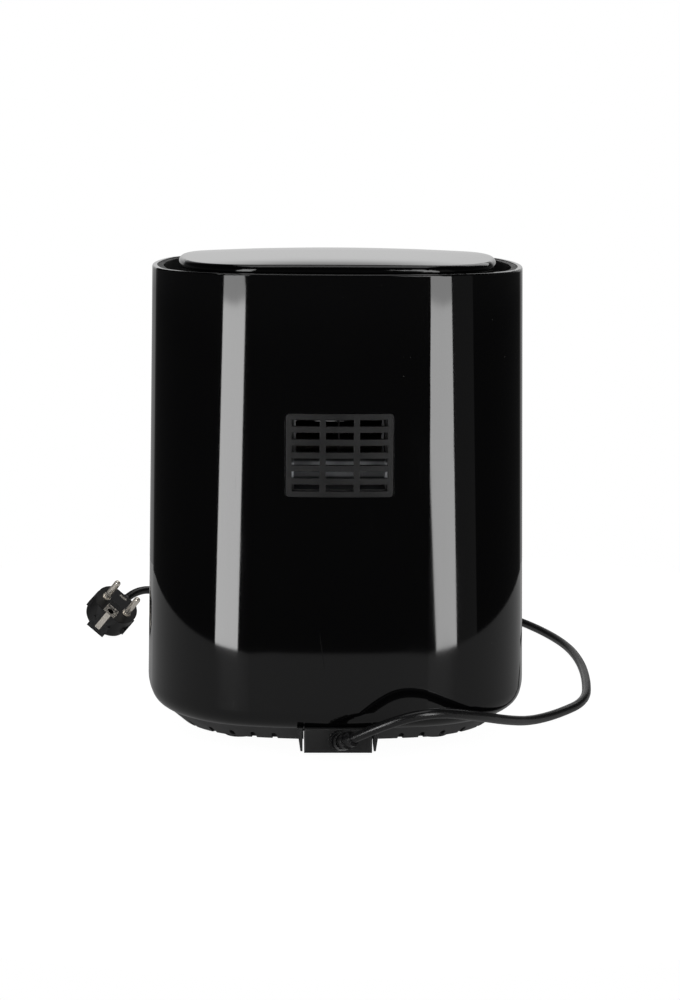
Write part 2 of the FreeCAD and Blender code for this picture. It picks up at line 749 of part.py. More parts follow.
def plug_body_local():
    """Moulded plug: a barrel with a flat and a sloped flank, two side tabs and a foot."""
    barrel = Part.makeCylinder(PLUG_R, PLUG_DEPTH, Vector(0, 0, -PLUG_DEPTH))
    half = PLUG_TAB_WIDTH / 2
    reach = PLUG_TAB_REACH
    sides = block(-reach, reach, -half, half, PLUG_TAB_Z, PLUG_TAB_Z + PLUG_TAB_DEPTH)
    foot = block(-half, half, -PLUG_FOOT_REACH, 0, -PLUG_DEPTH, PLUG_FOOT_DEPTH - PLUG_DEPTH)
    back = Part.makeCone(
        PLUG_R - PLUG_BACK_SHRINK,
        PLUG_R,
        PLUG_BACK_DEPTH,
        Vector(0, 0, -PLUG_DEPTH - PLUG_BACK_DEPTH),
    )
    body = barrel.multiFuse([sides, foot, back]).removeSplitter()
    wide = 2 * PLUG_R
    body = body.cut(block(-wide, wide, PLUG_FLAT, wide, -PLUG_DEPTH - PLUG_BACK_DEPTH, 0))
    outline = [(-PLUG_FLAT, 0), (-PLUG_FOOT_REACH, -PLUG_DEPTH), (-wide, -PLUG_DEPTH), (-wide, 0)]
    wire = Part.makePolygon([Vector(-wide, y, z) for y, z in outline + outline[:1]])
    return body.cut(Part.Face(wire).extrude(Vector(2 * wide, 0, 0)))


def plug_pin(side):
    """Round pin with a ball end, on a collar that is let into the face."""
    x = side * PIN_SPACING / 2
    collar = upright(PIN_COLLAR_R, x, 0, -PIN_COLLAR, 0)
    shank = upright(PIN_R, x, 0, -PIN_COLLAR, PIN_LENGTH - PIN_R)
    tip = Part.makeSphere(PIN_R, Vector(x, 0, PIN_LENGTH - PIN_R))
    return collar.multiFuse([shank, tip]).removeSplitter()


def earth_contacts():
    """Framed earth hole with a strip down the sloped flank, and the short upper clip."""
    half = EARTH_FRAME / 2
    low = max(-EARTH_OFFSET - half, -PLUG_FLAT)
    frame = block(-half, half, low, half - EARTH_OFFSET, -CLIP_THICK, 0)
    hole = upright(EARTH_HOLE_R, 0, -EARTH_OFFSET, -EARTH_HOLE_DEPTH, CLIP_THICK)
    lower = frame.fuse(plug_flank(PLUG_DEPTH - PLUG_BACK_DEPTH, CLIP_THICK)).removeSplitter()
    wide, near = UPPER_CLIP_WIDTH / 2, UPPER_CLIP_OFFSET - UPPER_CLIP_THICK / 2
    upper = block(-wide, wide, near, near + UPPER_CLIP_THICK, -UPPER_CLIP_DEPTH, 0)
    return Part.Compound([lower.cut(hole), upper]), hole


def plug_pieces():
    """The plug's pieces where they lie, its arm's tip and the way that the arm points."""
    frame = plug_frame()
    arm_z = ARM_ROOT_R - PLUG_DEPTH - PLUG_BACK_DEPTH
    turn = math.radians(ARM_TURN_DEG)
    axis = Vector(math.sin(turn), math.cos(turn), 0)
    root = Vector(0, 0, arm_z) + axis * (PLUG_FLAT - ARM_ROOT_R)
    arm = Part.makeCone(ARM_ROOT_R, ARM_TIP_R, ARM_LENGTH, root, axis)
    pins = Part.Compound([plug_pin(side) for side in (-1, 1)])
    earth, hole = earth_contacts()
    placed = {
        "plug_body": plug_body_local().cut(pins).cut(earth).cut(hole).cut(arm),
        "plug_arm": arm,
        "plug_pins": pins,
        "plug_earth_contacts": earth,
    }
    for shape in placed.values():
        shape.Placement = frame
    tip = frame.multVec(root + axis * ARM_LENGTH)
    return placed, tip, frame.Rotation.multVec(axis)


def rounded_path(points):
    """Straight runs joined by the largest tangent arcs that the runs leave room for."""
    edges = []
    radii = []
    last = points[0]
    for before, here, after in zip(points, points[1:], points[2:]):
        arrive, leave = here - before, after - here
        turn = arrive.getAngle(leave)
        reach = BEND_SHARE * min(arrive.Length, leave.Length)
        radii.append(reach / math.tan(turn / 2))
        start = here - Vector(arrive).normalize() * reach
        end = here + Vector(leave).normalize() * reach
        inward = (Vector(leave).normalize() - Vector(arrive).normalize()).normalize()
        middle = here + inward * (radii[-1] / math.cos(turn / 2) - radii[-1])
        edges.append(Part.LineSegment(last, start).toShape())
        edges.append(Part.Arc(start, middle, end).toShape())
        last = end
    edges.append(Part.LineSegment(last, points[-1]).toShape())
    return Part.Wire(edges), radii


def power_cord(plug_tip, plug_away):
    """Round lead that leaves the boot and the plug's arm straight."""
    at, heading = boot_path()
    start = at(BOOT_BEND_DEG)
    first = start + heading(BOOT_BEND_DEG) * BOOT_LEAD
    last = plug_tip + plug_away * ARM_LEAD
    points = [start, first, *[Vector(*c) for c in CORD_CORNERS], last, plug_tip]
    path, radii = rounded_path(points)
    ring = Part.Wire(Part.makeCircle(CORD_R, start, points[1] - start))
    tube = path.makePipeShell([ring], True)
    expected = math.pi * CORD_R**2 * path.Length
    print("cord length", round(path.Length, 1), "least bend radius", round(min(radii), 1))
    print("cord bend radii", [round(r) for r in radii])
    print("cord volume over section times length", round(tube.Volume / expected, 4))
    print("cord route", [tuple(round(v, 2) for v in p) for p in points])
    return tube


def chamber():
    """Folded sheet liner, open to the front and top, with ledges that carry the pan."""
    low, high = CHAMBER_Z, CHAMBER_TOP_Z
    outer = level_slab(CHAMBER_WIDTH, CHAMBER_FRONT - CHAMBER_R, CHAMBER_REAR, CHAMBER_R, low, high)
    inner = level_slab(
        CHAMBER_WIDTH - 2 * SHEET,
        CHAMBER_FRONT - CHAMBER_R,
        CHAMBER_REAR - SHEET,
        CHAMBER_R - SHEET,
        low + SHEET,
        high,
    )
    liner = outer.cut(inner)
    liner = liner.cut(block(-HALF_W, HALF_W, -REACH, CHAMBER_FRONT, 0, RIM_Z))
    half = DUCT_WIDTH / 2 - 2 * DUCT_WALL
    reach = DUCT_HEIGHT / 2 - 2 * DUCT_WALL
    vent = block(-half, half, 0, REACH, GRILLE_Z - reach, GRILLE_Z + reach)
    return liner.cut(vent)


def chamber_rails():
    """Ledges on both chamber walls that the pan's flange slides on."""
    wall = CHAMBER_WIDTH / 2 - SHEET
    top = PAN_TOP_Z - PAN_WALL - SLIP
    rails = []
    for side in (-1, 1):
        ends = sorted((side * wall, side * (wall - RAIL_WIDTH)))
        rails.append(
            block(*ends, CHAMBER_FRONT, CHAMBER_REAR - CHAMBER_R, top - RAIL_THICK, top)
        )
    return Part.Compound(rails)


def drawer_frame():
    """Moulded lining between the shell's drawer opening and the chamber."""
    grow = FRAME_WALL
    ring = facing_slab(
        DOOR_WIDTH + 2 * grow, DOOR_Z - grow, DOOR_TOP_Z + grow, DOOR_R + grow, -HALF_D, CHAMBER_FRONT
    )
    ring = ring.cut(facing_slab(DOOR_WIDTH, DOOR_Z, DOOR_TOP_Z, DOOR_R, -REACH, REACH))
    return ring.common(chin_body(WALL + SLIP))


def drawer_front():
    """Curved front panel of the drawer, flush with the shell round it."""
    panel = facing_slab(
        DOOR_WIDTH - 2 * DOOR_GAP,
        DOOR_Z + DOOR_GAP,
        DOOR_TOP_Z - DOOR_GAP,
        DOOR_R - DOOR_GAP,
        -REACH,
        0,
    )
    plate = panel.common(body_solid(0, CHIN_TOP_Z, RIM_Z)).cut(body_solid(WALL, CHIN_TOP_Z, RIM_Z))
    return plate.cut(Part.Compound(bolt_holes(BOLT_R + SLIP)))


def bolt_places():
    """Heights of the two handle bolts, in the middle of the handle's arms."""
    return (HANDLE_Z + HANDLE_ARM / 2, HANDLE_TOP_Z - HANDLE_ARM / 2)


def bolt_holes(radius):
    """Cylinders along the two handle bolts."""
    through = WALL + 2 * BRACKET_WALL
    return [
        along_y(radius, 0, z, front_y(z) - BOLT_BITE - SLIP, front_y(z) + through)
        for z in bolt_places()
    ]


def drawer_bracket():
    """Hollow carrier that ties the front panel to the pan."""
    half = BRACKET_WIDTH / 2
    body = block(-half, half, -REACH, 0, BRACKET_Z, BRACKET_TOP_Z)
    body = body.common(body_solid(WALL, CHIN_TOP_Z, RIM_Z)).cut(pan_solid(SLIP, PAN_Z, BRACKET_TOP_Z))
    body = min(body.Solids, key=lambda s: s.CenterOfMass.y)
    hollow = block(
        BRACKET_WALL - half,
        half - BRACKET_WALL,
        -REACH,
        PAN_FRONT - PAN_WALL - BRACKET_WALL,
        BRACKET_Z + BRACKET_WALL,
        BRACKET_TOP_Z - BRACKET_WALL,
    )
    hollow = hollow.common(body_solid(WALL + BRACKET_WALL, CHIN_TOP_Z, RIM_Z))
    return body.cut(hollow).cut(Part.Compound(bolt_holes(BOLT_R + SLIP)))


def pan_solid(grow, bottom, top):
    """Drafted tub shape, grown by grow, between two heights."""
    span = PAN_TOP_Z - PAN_Z
    wires = []
    for z in (bottom, top):
        shift = grow - PAN_DRAFT * (PAN_TOP_Z - z) / span
        wires.append(
            level_rectangle(PAN_WIDTH + 2 * shift, PAN_FRONT - shift, PAN_REAR + shift, PAN_R + shift, z)
        )
    return Part.makeLoft(wires, True, True)


def pan():
    """Coated tub with a rolled foot and a flange round its top."""
    tub = pan_solid(0, PAN_Z, PAN_TOP_Z)
    tub = tub.makeFillet(PAN_FOOT_R, edges_at(tub, PAN_Z))
    floor = PAN_Z + PAN_WALL
    inside = pan_solid(-PAN_WALL, floor, PAN_TOP_Z)
    inside = inside.makeFillet(PAN_FOOT_R - PAN_WALL, edges_at(inside, floor))
    flange = level_slab(
        PAN_WIDTH + 2 * PAN_FLANGE,
        PAN_FRONT,
        PAN_REAR + PAN_FLANGE,
        PAN_R,
        PAN_TOP_Z - PAN_WALL,
        PAN_TOP_Z,
    )
    return tub.fuse(flange).cut(inside).removeSplitter()


def handle():
    """D-shaped grip whose two arms follow the front panel's curve."""
    front = front_y(CHIN_TOP_Z) - HANDLE_REACH
    middle = (HANDLE_Z + HANDLE_TOP_Z) / 2
    tall = HANDLE_TOP_Z - HANDLE_Z
    rear = -HALF_D / 2
    half = HANDLE_WIDTH / 2

    def side_profile(start, height, radius):
        def place(u, v):
            return Vector(-half, v, middle + u)

        wire = rounded_rectangle(height, start, rear, radius, place)
        return Part.Face(wire).extrude(Vector(HANDLE_WIDTH, 0, 0))

    loop = side_profile(front, tall, HANDLE_OUTER_R)
    gap = side_profile(front + HANDLE_GRIP, tall - 2 * HANDLE_ARM, HANDLE_INNER_R)
    flanks = [e for e in loop.Edges if e.BoundBox.XLength < TINY]
    loop = loop.makeFillet(HANDLE_EDGE, flanks)
    loop = loop.cut(gap).cut(body_solid(0, CHIN_TOP_Z, RIM_Z)).cut(trim_strip())
    loop = max(loop.Solids, key=lambda s: s.Volume)
    return loop.cut(Part.Compound(bolt_holes(BOLT_R + RUNNING)))


def trim_strip():
    """Metal strip let into the front of the grip."""
    front = front_y(CHIN_TOP_Z) - HANDLE_REACH
    low = HANDLE_Z + HANDLE_OUTER_R - TRIM_MARGIN
    high = HANDLE_TOP_Z - HANDLE_OUTER_R + TRIM_MARGIN
    return facing_slab(TRIM_WIDTH, low, high, TRIM_WIDTH / 2 - TINY, front, front + TRIM_THICK)


def handle_bolts():
    """Two bolts from inside the carrier into the handle's arms."""
    bolts = []
    for z in bolt_places():
        seat = front_y(z) + WALL + BRACKET_WALL + BOLT_SEAT
        shank = along_y(BOLT_R, 0, z, front_y(z) - BOLT_BITE, seat)
        head = along_y(BOLT_HEAD_R, 0, z, seat, seat + BOLT_HEAD)
        bolts.append(shank.fuse(head).removeSplitter())
    return Part.Compound(bolts)


def plate_outline(inset, bottom, top):
    """Prism on the crisper plate's outline, moved in by inset."""
    grow = PLATE_GAP + PAN_WALL + PAN_DRAFT + inset
    return level_slab(
        PAN_WIDTH - 2 * grow, PAN_FRONT + grow, PAN_REAR - grow, PLATE_R - inset, bottom, top
    )


def crisper_plate():
    """Slotted plate with a turned-down lip and a finger hole."""
    top = PLATE_Z + PLATE_THICK
    plate = plate_outline(0, top - PLATE_LIP, top)
    plate = plate.cut(plate_outline(PLATE_THICK, 0, PLATE_Z))
    middle_y = (PAN_FRONT + PAN_REAR) / 2
    span_x = PAN_WIDTH - 2 * (PLATE_GAP + PAN_WALL + PAN_DRAFT)
    span_y = span_x + PAN_REAR - PAN_FRONT - PAN_WIDTH
    pitch_x = span_x / (PLATE_SLOT_COLUMNS + 0.6)
    pitch_y = span_y / (PLATE_SLOT_ROWS + 1)
    cuts = [upright(PLATE_HOLE_R, 0, middle_y, 0, top)]
    for row in range(PLATE_SLOT_ROWS):
        y = middle_y + (row - (PLATE_SLOT_ROWS - 1) / 2) * pitch_y
        columns = PLATE_SLOT_COLUMNS - row % 2
        for column in range(columns):
            x = (column - (columns - 1) / 2) * pitch_x
            corner_row = row in (0, PLATE_SLOT_ROWS - 1) and column in (0, columns - 1)
            if math.hypot(x, y - middle_y) > PLATE_SLOT_LENGTH and not corner_row:
                cuts.append(round_slot(x, y, top))
    return plate.cut(Part.Compound(cuts))


def round_slot(x, y, top):
    """Upright prism of one round-ended slot."""
    half = PLATE_SLOT_WIDTH / 2
    return level_slab(
        PLATE_SLOT_LENGTH, y - half, y + half, half - TINY, 0, top
    ).translated(Vector(x, 0, 0))


def plate_bumpers():
    """Four silicone clips that hold the plate off the pan's walls and floor."""
    top = PLATE_Z + PLATE_THICK
    bumpers = []
    middle_y = (PAN_FRONT + PAN_REAR) / 2
    grow = PLATE_GAP + PAN_WALL + PAN_DRAFT
    reach_x = PAN_WIDTH / 2 - grow
    reach_y = (PAN_REAR - PAN_FRONT) / 2 - grow
    half = BUMPER_WIDTH / 2
    low = PAN_Z + PAN_WALL + SLIP
    high = top + BUMPER_OVER
    out = PLATE_GAP - SLIP
    deep = BUMPER_THICK - out
    for side in (-1, 1):
        ends = sorted((side * (reach_x + out), side * (reach_x - deep)))
        bumpers.append(block(*ends, middle_y - half, middle_y + half, low, high))
        ends = sorted((middle_y + side * (reach_y + out), middle_y + side * (reach_y - deep)))
        bumpers.append(block(-half, half, *ends, low, high))
    plate = plate_outline(0, top - PLATE_LIP, top)
    plate = plate.cut(plate_outline(PLATE_THICK, 0, PLATE_Z))
    tub = pan_solid(-PAN_WALL - SLIP, PAN_Z + PAN_WALL + SLIP, PAN_TOP_Z)
    tub = tub.makeFillet(PAN_FOOT_R - PAN_WALL, edges_at(tub, PAN_Z + PAN_WALL + SLIP))
    return Part.Compound([b.common(tub).cut(plate) for b in bumpers])


def well_floor(z):
    """Depth of the flat floor of the knob well at height z."""
    return front_y(z) + WELL_DEPTH


def control_panel():
    """Fascia with two knob wells, shaft holes and lamp holes."""
    window = facing_slab(
        PANEL_WIDTH - 2 * PANEL_GAP,
        PANEL_Z + PANEL_GAP,
        PANEL_TOP_Z - PANEL_GAP,
        PANEL_R - PANEL_GAP,
        -REACH,
        0,
    )
    body = body_solid(0, CHIN_TOP_Z, RIM_Z)
    panel = window.common(body).cut(body_solid(WALL, CHIN_TOP_Z, RIM_Z))
    for z in KNOB_Z.values():
        floor = well_floor(z)
        cup = along_y(WELL_R + WELL_WALL, 0, z, -HALF_D, floor + WELL_WALL).common(body)
        panel = panel.fuse(cup)
        panel = panel.cut(along_y(WELL_R, 0, z, -REACH, floor))
        panel = panel.cut(along_y(SHAFT_R + RUNNING, 0, z, -REACH, 0))
    lamps = [along_y(LAMP_R + RUNNING, x, lamp_z(), -REACH, 0) for x in (-LAMP_X, LAMP_X)]
    return panel.cut(Part.Compound(lamps)).removeSplitter()


def lamp_z():
    """Height of the two indicator lamps, midway between the knobs."""
    return sum(KNOB_Z.values()) / len(KNOB_Z)


def indicator_lamps():
    """Two round lenses pushed through the fascia."""
    z = lamp_z()
    surface = -rear_y(LAMP_X, taper_at(z))
    lamps = []
    for x in (-LAMP_X, LAMP_X):
        lens = along_y(LAMP_R, x, z, surface - LAMP_PROUD, surface + 2 * WALL)
        lamps.append(lens)
    return Part.Compound(lamps)


def knob(name):
    """Fluted knob with a skirt, hollow behind, that turns with its shaft."""
    z = KNOB_Z[name]
    back = well_floor(z) - KNOB_STANDOFF
    tip = back - KNOB_HEIGHT
    skirt = along_y(KNOB_R, 0, z, back - KNOB_SKIRT, back)
    tall = KNOB_HEIGHT - KNOB_SKIRT
    grip = Part.makeCone(KNOB_TIP_R, KNOB_R - FLUTE_R, tall, Vector(0, tip, z), Vector(0, 1, 0))
    front_edges = [e for e in grip.Edges if e.BoundBox.YMax < tip + TINY]
    grip = grip.makeFillet(KNOB_ROUND, front_edges)
    flutes = []
    for number in range(KNOB_FLUTES):
        turn = math.radians(360 * number / KNOB_FLUTES)
        x, dz = KNOB_R * math.sin(turn), KNOB_R * math.cos(turn)
        flutes.append(along_y(FLUTE_R, x, z + dz, tip, back - KNOB_SKIRT))
    body = grip.cut(Part.Compound(flutes)).fuse(skirt)
    hollow = along_y(KNOB_TIP_R - KNOB_WEB, 0, z, tip + KNOB_WEB * 2, back)
    hub = along_y(SHAFT_R + KNOB_WEB, 0, z, tip + KNOB_WEB, back)
    body = body.cut(hollow).fuse(hub)
    return body.cut(along_y(SHAFT_R + RUNNING, 0, z, tip + KNOB_WEB, back)).removeSplitter()


def knob_ring(name):
    """Bright ring round the foot of a knob."""
    z = KNOB_Z[name]
    back = well_floor(z) - KNOB_STANDOFF
    ring = along_y(RING_R, 0, z, back - KNOB_SKIRT / 2, back)
    return ring.cut(along_y(KNOB_R + RUNNING, 0, z, -REACH, 0))


def knob_shaft(name):
    """Shaft from the control's body into the knob."""
    z = KNOB_Z[name]
    back = well_floor(z) - KNOB_STANDOFF
    tip = back - KNOB_HEIGHT + KNOB_WEB + SLIP
    return along_y(SHAFT_R, 0, z, tip, well_floor(z) + WELL_WALL + CONTROL_DEPTH / 2)


def control_body(name):
    """Body of the thermostat or timer, fixed to the back of its well."""
    z = KNOB_Z[name]
    front = well_floor(z) + WELL_WALL
    half = CONTROL_BOX / 2
    box = block(-half, half, front, front + CONTROL_DEPTH, z - half, z + half)
    upright_edges = [e for e in box.Edges if e.BoundBox.YLength > CONTROL_DEPTH / 2]
    box = box.makeFillet(KNOB_SKIRT, upright_edges)
    return box.cut(along_y(SHAFT_R + RUNNING, 0, z, -REACH, front + CONTROL_DEPTH / 2 + SLIP))


def heat_shield():
    """Pressed roof of the chamber, with holes for the shaft and the heater's ends."""
    low = SHIELD_Z
    roof = level_slab(
        CHAMBER_WIDTH, CHAMBER_FRONT, CHAMBER_REAR, CHAMBER_R, low, low + SHEET
    )
    holes = [upright(SHAFT_AXIS_R + 2 * SHEET, 0, 0, 0, RIM_Z)]
    for x, y in coil_ends():
        holes.append(upright(COIL_R + SLIP, x, y, 0, RIM_Z))
    return roof.cut(Part.Compound(holes))


def coil_arcs():
    """Half-turn arcs of the heater's spiral: centre x, radius and starting angle."""
    arcs = []
    for half in range(2 * COIL_TURNS + 1):
        radius = COIL_INNER_R + half * COIL_PITCH / 2
        centre = COIL_PITCH / 2 if half % 2 else 0
        arcs.append((centre, radius, 180 * half))
    return arcs


def coil_ends():
    """Where the spiral starts and stops, both heading along Y, and its legs beside them."""
    return [(x, -COIL_BEND_R) for x in (COIL_INNER_R, -COIL_OUTER_R)]


def leg_bend(x):
    """Quarter arc from the foot of an upright leg down into the level spiral."""
    hub = Vector(x, 0, COIL_Z + COIL_BEND_R)
    slant = COIL_BEND_R * math.sqrt(0.5)
    foot = hub - Vector(0, COIL_BEND_R, 0)
    return Part.Arc(foot, hub - Vector(0, slant, slant), Vector(x, 0, COIL_Z)).toShape()


def heating_element():
    """Sheathed spiral heater with both legs bent up through the shield."""
    top = SHIELD_Z + COIL_R
    edges = []
    for x, y in coil_ends():
        foot = Vector(x, y, COIL_Z + COIL_BEND_R)
        edges.append(Part.LineSegment(Vector(x, y, top), foot).toShape())
        edges.append(leg_bend(x))
    for centre, radius, start in coil_arcs():
        edges.append(level_arc((centre, 0), radius, start, start + 180, COIL_Z))
    path = Part.Wire(Part.__sortEdges__(edges))
    start = path.OrderedVertexes[0].Point
    ring = Part.Wire(Part.makeCircle(COIL_R, start, Vector(0, 0, 1)))
    return path.makePipeShell([ring], True)


def coil_crossings(deg):
    """Radii at which the spiral crosses a ray from the axis at an angle."""
    found = []
    for centre, radius, start in coil_arcs():
        share = (deg - start) % 360
        if share < 180:
            offset = centre * math.cos(math.radians(deg))
            found.append(offset + math.sqrt(radius**2 - (centre * math.sin(math.radians(deg))) ** 2))
    return found


def element_straps():
    """Three sheet straps hung from the shield that the spiral rests in."""
    straps = []
    for deg in STRAP_TURNS:
        crossings = coil_crossings(deg)
        outer = max(crossings) + STRAP_OUT
        inner = min(crossings) - STRAP_OUT
        half = STRAP_THICK / 2
        low = COIL_Z - STRAP_BELOW
        arm = block(inner, outer, -half, half, low, COIL_Z + COIL_R)
        riser = block(max(FAN_R, max(crossings)) + COIL_R, outer, -half, half, low, SHIELD_Z)
        strap = arm.fuse(riser)
        for radius in crossings:
            notch = COIL_R + SLIP
            top = SHIELD_Z - FAN_BLADE
            slot = block(radius - notch, radius + notch, -half, half, COIL_Z - notch, top)
            strap = strap.cut(slot)
        strap.rotate(Vector(0, 0, 0), Vector(0, 0, 1), deg)
        straps.append(strap)
    return Part.Compound(straps)


def element_guard():
    """Wire guard under the heater: rings laid on three arms that hang from the straps."""
    wires = [Part.makeTorus(r, GUARD_WIRE_R, Vector(0, 0, GUARD_Z)) for r in GUARD_RINGS]
    level = GUARD_Z - 2 * GUARD_WIRE_R
    top = COIL_Z - STRAP_BELOW
    for deg in STRAP_TURNS:
        reach = max(GUARD_RINGS) + GUARD_BEND_R
        bend = GUARD_BEND_R * (1 - math.sqrt(0.5))
        start = polar((0, 0), GUARD_WIRE_R, deg, level)
        turn = polar((0, 0), reach - GUARD_BEND_R, deg, level)
        middle = polar((0, 0), reach - bend, deg, level + bend)
        rise = polar((0, 0), reach, deg, level + GUARD_BEND_R)
        path = Part.Wire(
            [
                Part.LineSegment(start, turn).toShape(),
                Part.Arc(turn, middle, rise).toShape(),
                Part.LineSegment(rise, Vector(rise.x, rise.y, top)).toShape(),
            ]
        )
        ring = Part.Wire(Part.makeCircle(GUARD_WIRE_R, start, turn - start))
        wires.append(path.makePipeShell([ring], True))
    return Part.Compound(wires)


def fan(radius, bottom, blade, blades):
    """Impeller: a hub and a disc with straight blades."""
    disc_z = bottom + blade
    wheel = upright(radius, 0, 0, disc_z, disc_z + FAN_DISC)
    hub = upright(FAN_HUB_R, 0, 0, bottom, disc_z + FAN_DISC)
    half = BLADE_THICK / 2
    vanes = []
    for number in range(blades):
        vane = block(FAN_HUB_R - SHEET, radius - SHEET, -half, half, bottom, disc_z)
        vane.rotate(Vector(0, 0, 0), Vector(0, 0, 1), 360 * number / blades)
        vanes.append(vane)
    impeller = wheel.multiFuse([hub] + vanes)
    return impeller.cut(upright(SHAFT_AXIS_R + RUNNING, 0, 0, 0, RIM_Z)).removeSplitter()


def fan_nut():
    """Six-sided nut that holds the hot-air fan on its shaft."""
    top = FAN_Z
    points = [polar((0, 0), NUT_R, 60 * n, top - NUT_HEIGHT) for n in range(7)]
    nut = Part.Face(Part.makePolygon(points)).extrude(Vector(0, 0, NUT_HEIGHT))
    return nut.cut(upright(SHAFT_AXIS_R + RUNNING, 0, 0, 0, RIM_Z))


def core_places():
    """Depths of the core's front, its coil window and its rear leg."""
    window = ROTOR_R + CORE_WEB
    leg = window + CORE_WINDOW
    return -CORE_FRONT, window, leg, leg + CORE_LEG


def motor_bracket():
    """Sheet bridge that stands on the shield and carries the motor."""
    low = MOTOR_Z - SHEET
    front, _, _, rear = core_places()
    width = CORE_WIDTH + 2 * CORE_LEG
    plate = level_slab(width, front - CORE_LEG, rear + CORE_LEG, CORE_LEG, low, MOTOR_Z)
    plate = plate.cut(upright(ROTOR_R, 0, 0, 0, RIM_Z))
    legs = []
    for x in (-CORE_WIDTH / 2, CORE_WIDTH / 2):
        for y in (front, rear):
            legs.append(upright(STANDOFF_R, x, y, SHIELD_Z + SHEET, low))
    return plate.multiFuse(legs).removeSplitter()


def motor_core():
    """Stack of iron sheets with a bore for the rotor and a window for the coil."""
    low = MOTOR_Z + BRIDGE_HEIGHT
    front, window, leg, rear = core_places()
    half = CORE_WIDTH / 2
    stack = block(-half, half, front, rear, low, low + CORE_HEIGHT)
    stack = stack.cut(upright(ROTOR_R + ROTOR_GAP, 0, 0, 0, RIM_Z))
    return stack.cut(block(CORE_LEG - half, half - CORE_LEG, window, leg, 0, RIM_Z))


def motor_coil():
    """Taped winding on the core's rear leg."""
    low = MOTOR_Z + BRIDGE_HEIGHT
    half = CORE_WIDTH / 2 - CORE_LEG - SLIP
    _, _, leg, rear = core_places()
    over = BOBBIN_OVER
    bundle = block(-half, half, leg - over, rear + over, low - over, low + CORE_HEIGHT + over)
    long_edges = [e for e in bundle.Edges if e.BoundBox.XLength > half]
    bundle = bundle.makeFillet(over / 2, long_edges)
    return bundle.cut(
        block(-REACH, REACH, leg - SLIP, rear + SLIP, low - SLIP, low + CORE_HEIGHT + SLIP)
    )


def bearing_bridges():
    """Two bridges across the core with the shaft's plain bearings."""
    bridges = []
    low = MOTOR_Z
    core_low = MOTOR_Z + BRIDGE_HEIGHT
    core_top = core_low + CORE_HEIGHT
    top_web = core_top + BRIDGE_HEIGHT - BRIDGE_THICK
    half = BRIDGE_WIDTH / 2
    outer = CORE_WIDTH / 2
    inner = outer - BRIDGE_THICK
    for bottom, web in ((low, low), (core_top, top_web)):
        bar = block(-outer, outer, -half, half, web, web + BRIDGE_THICK)
        ends = [
            block(*sorted((s * outer, s * inner)), -half, half, bottom, bottom + BRIDGE_HEIGHT)
            for s in (-1, 1)
        ]
        bridge = bar.multiFuse(ends)
        bridges.append(bridge.cut(upright(SHAFT_AXIS_R + RUNNING, 0, 0, 0, RIM_Z)).removeSplitter())
    return Part.Compound(bridges)


def motor_rotor():
    """Rotor pressed on the shaft."""
    low = MOTOR_Z + BRIDGE_HEIGHT
    body = upright(ROTOR_R, 0, 0, low, low + CORE_HEIGHT)
    return body.cut(upright(SHAFT_AXIS_R + RUNNING, 0, 0, 0, RIM_Z))


def motor_shaft():
    """Shaft that carries the rotor and both fans."""
    low = FAN_Z - NUT_HEIGHT - SHEET
    return upright(SHAFT_AXIS_R, 0, 0, low, COOLER_Z + COOLER_BLADE + 4 * SHEET)


def feet():
    """Four rubber feet with a stem through the tray and a recess for their screw."""
    made = []
    for x, y in spots(FOOT_X, FOOT_Y):
        pad = upright(FOOT_R, x, y, 0, BASE_Z)
        pad = pad.makeFillet(FOOT_RECESS / 4, edges_at(pad, 0))
        foot = pad.fuse(upright(FOOT_STEM_R, x, y, BASE_Z, BASE_Z + BASE_WALL))
        foot = foot.cut(upright(FOOT_RECESS_R, x, y, 0, FOOT_RECESS))
        foot = foot.cut(upright(SCREW_R + RUNNING, x, y, 0, REACH))
        made.append(foot.removeSplitter())
    return Part.Compound(made)


def foot_screws():
    """Screws that hold the feet to the tray, each with its nut inside."""
    made = []
    top = BASE_Z + BASE_WALL
    for x, y in spots(FOOT_X, FOOT_Y):
        head = upright(SCREW_HEAD_R, x, y, FOOT_RECESS - SCREW_HEAD, FOOT_RECESS)
        shank = upright(SCREW_R, x, y, FOOT_RECESS, top)
        nut = upright(FOOT_STEM_R + SCREW_HEAD, x, y, top, top + SCREW_HEAD)
        made.append(head.multiFuse([shank, nut]).removeSplitter())
    return Part.Compound(made)


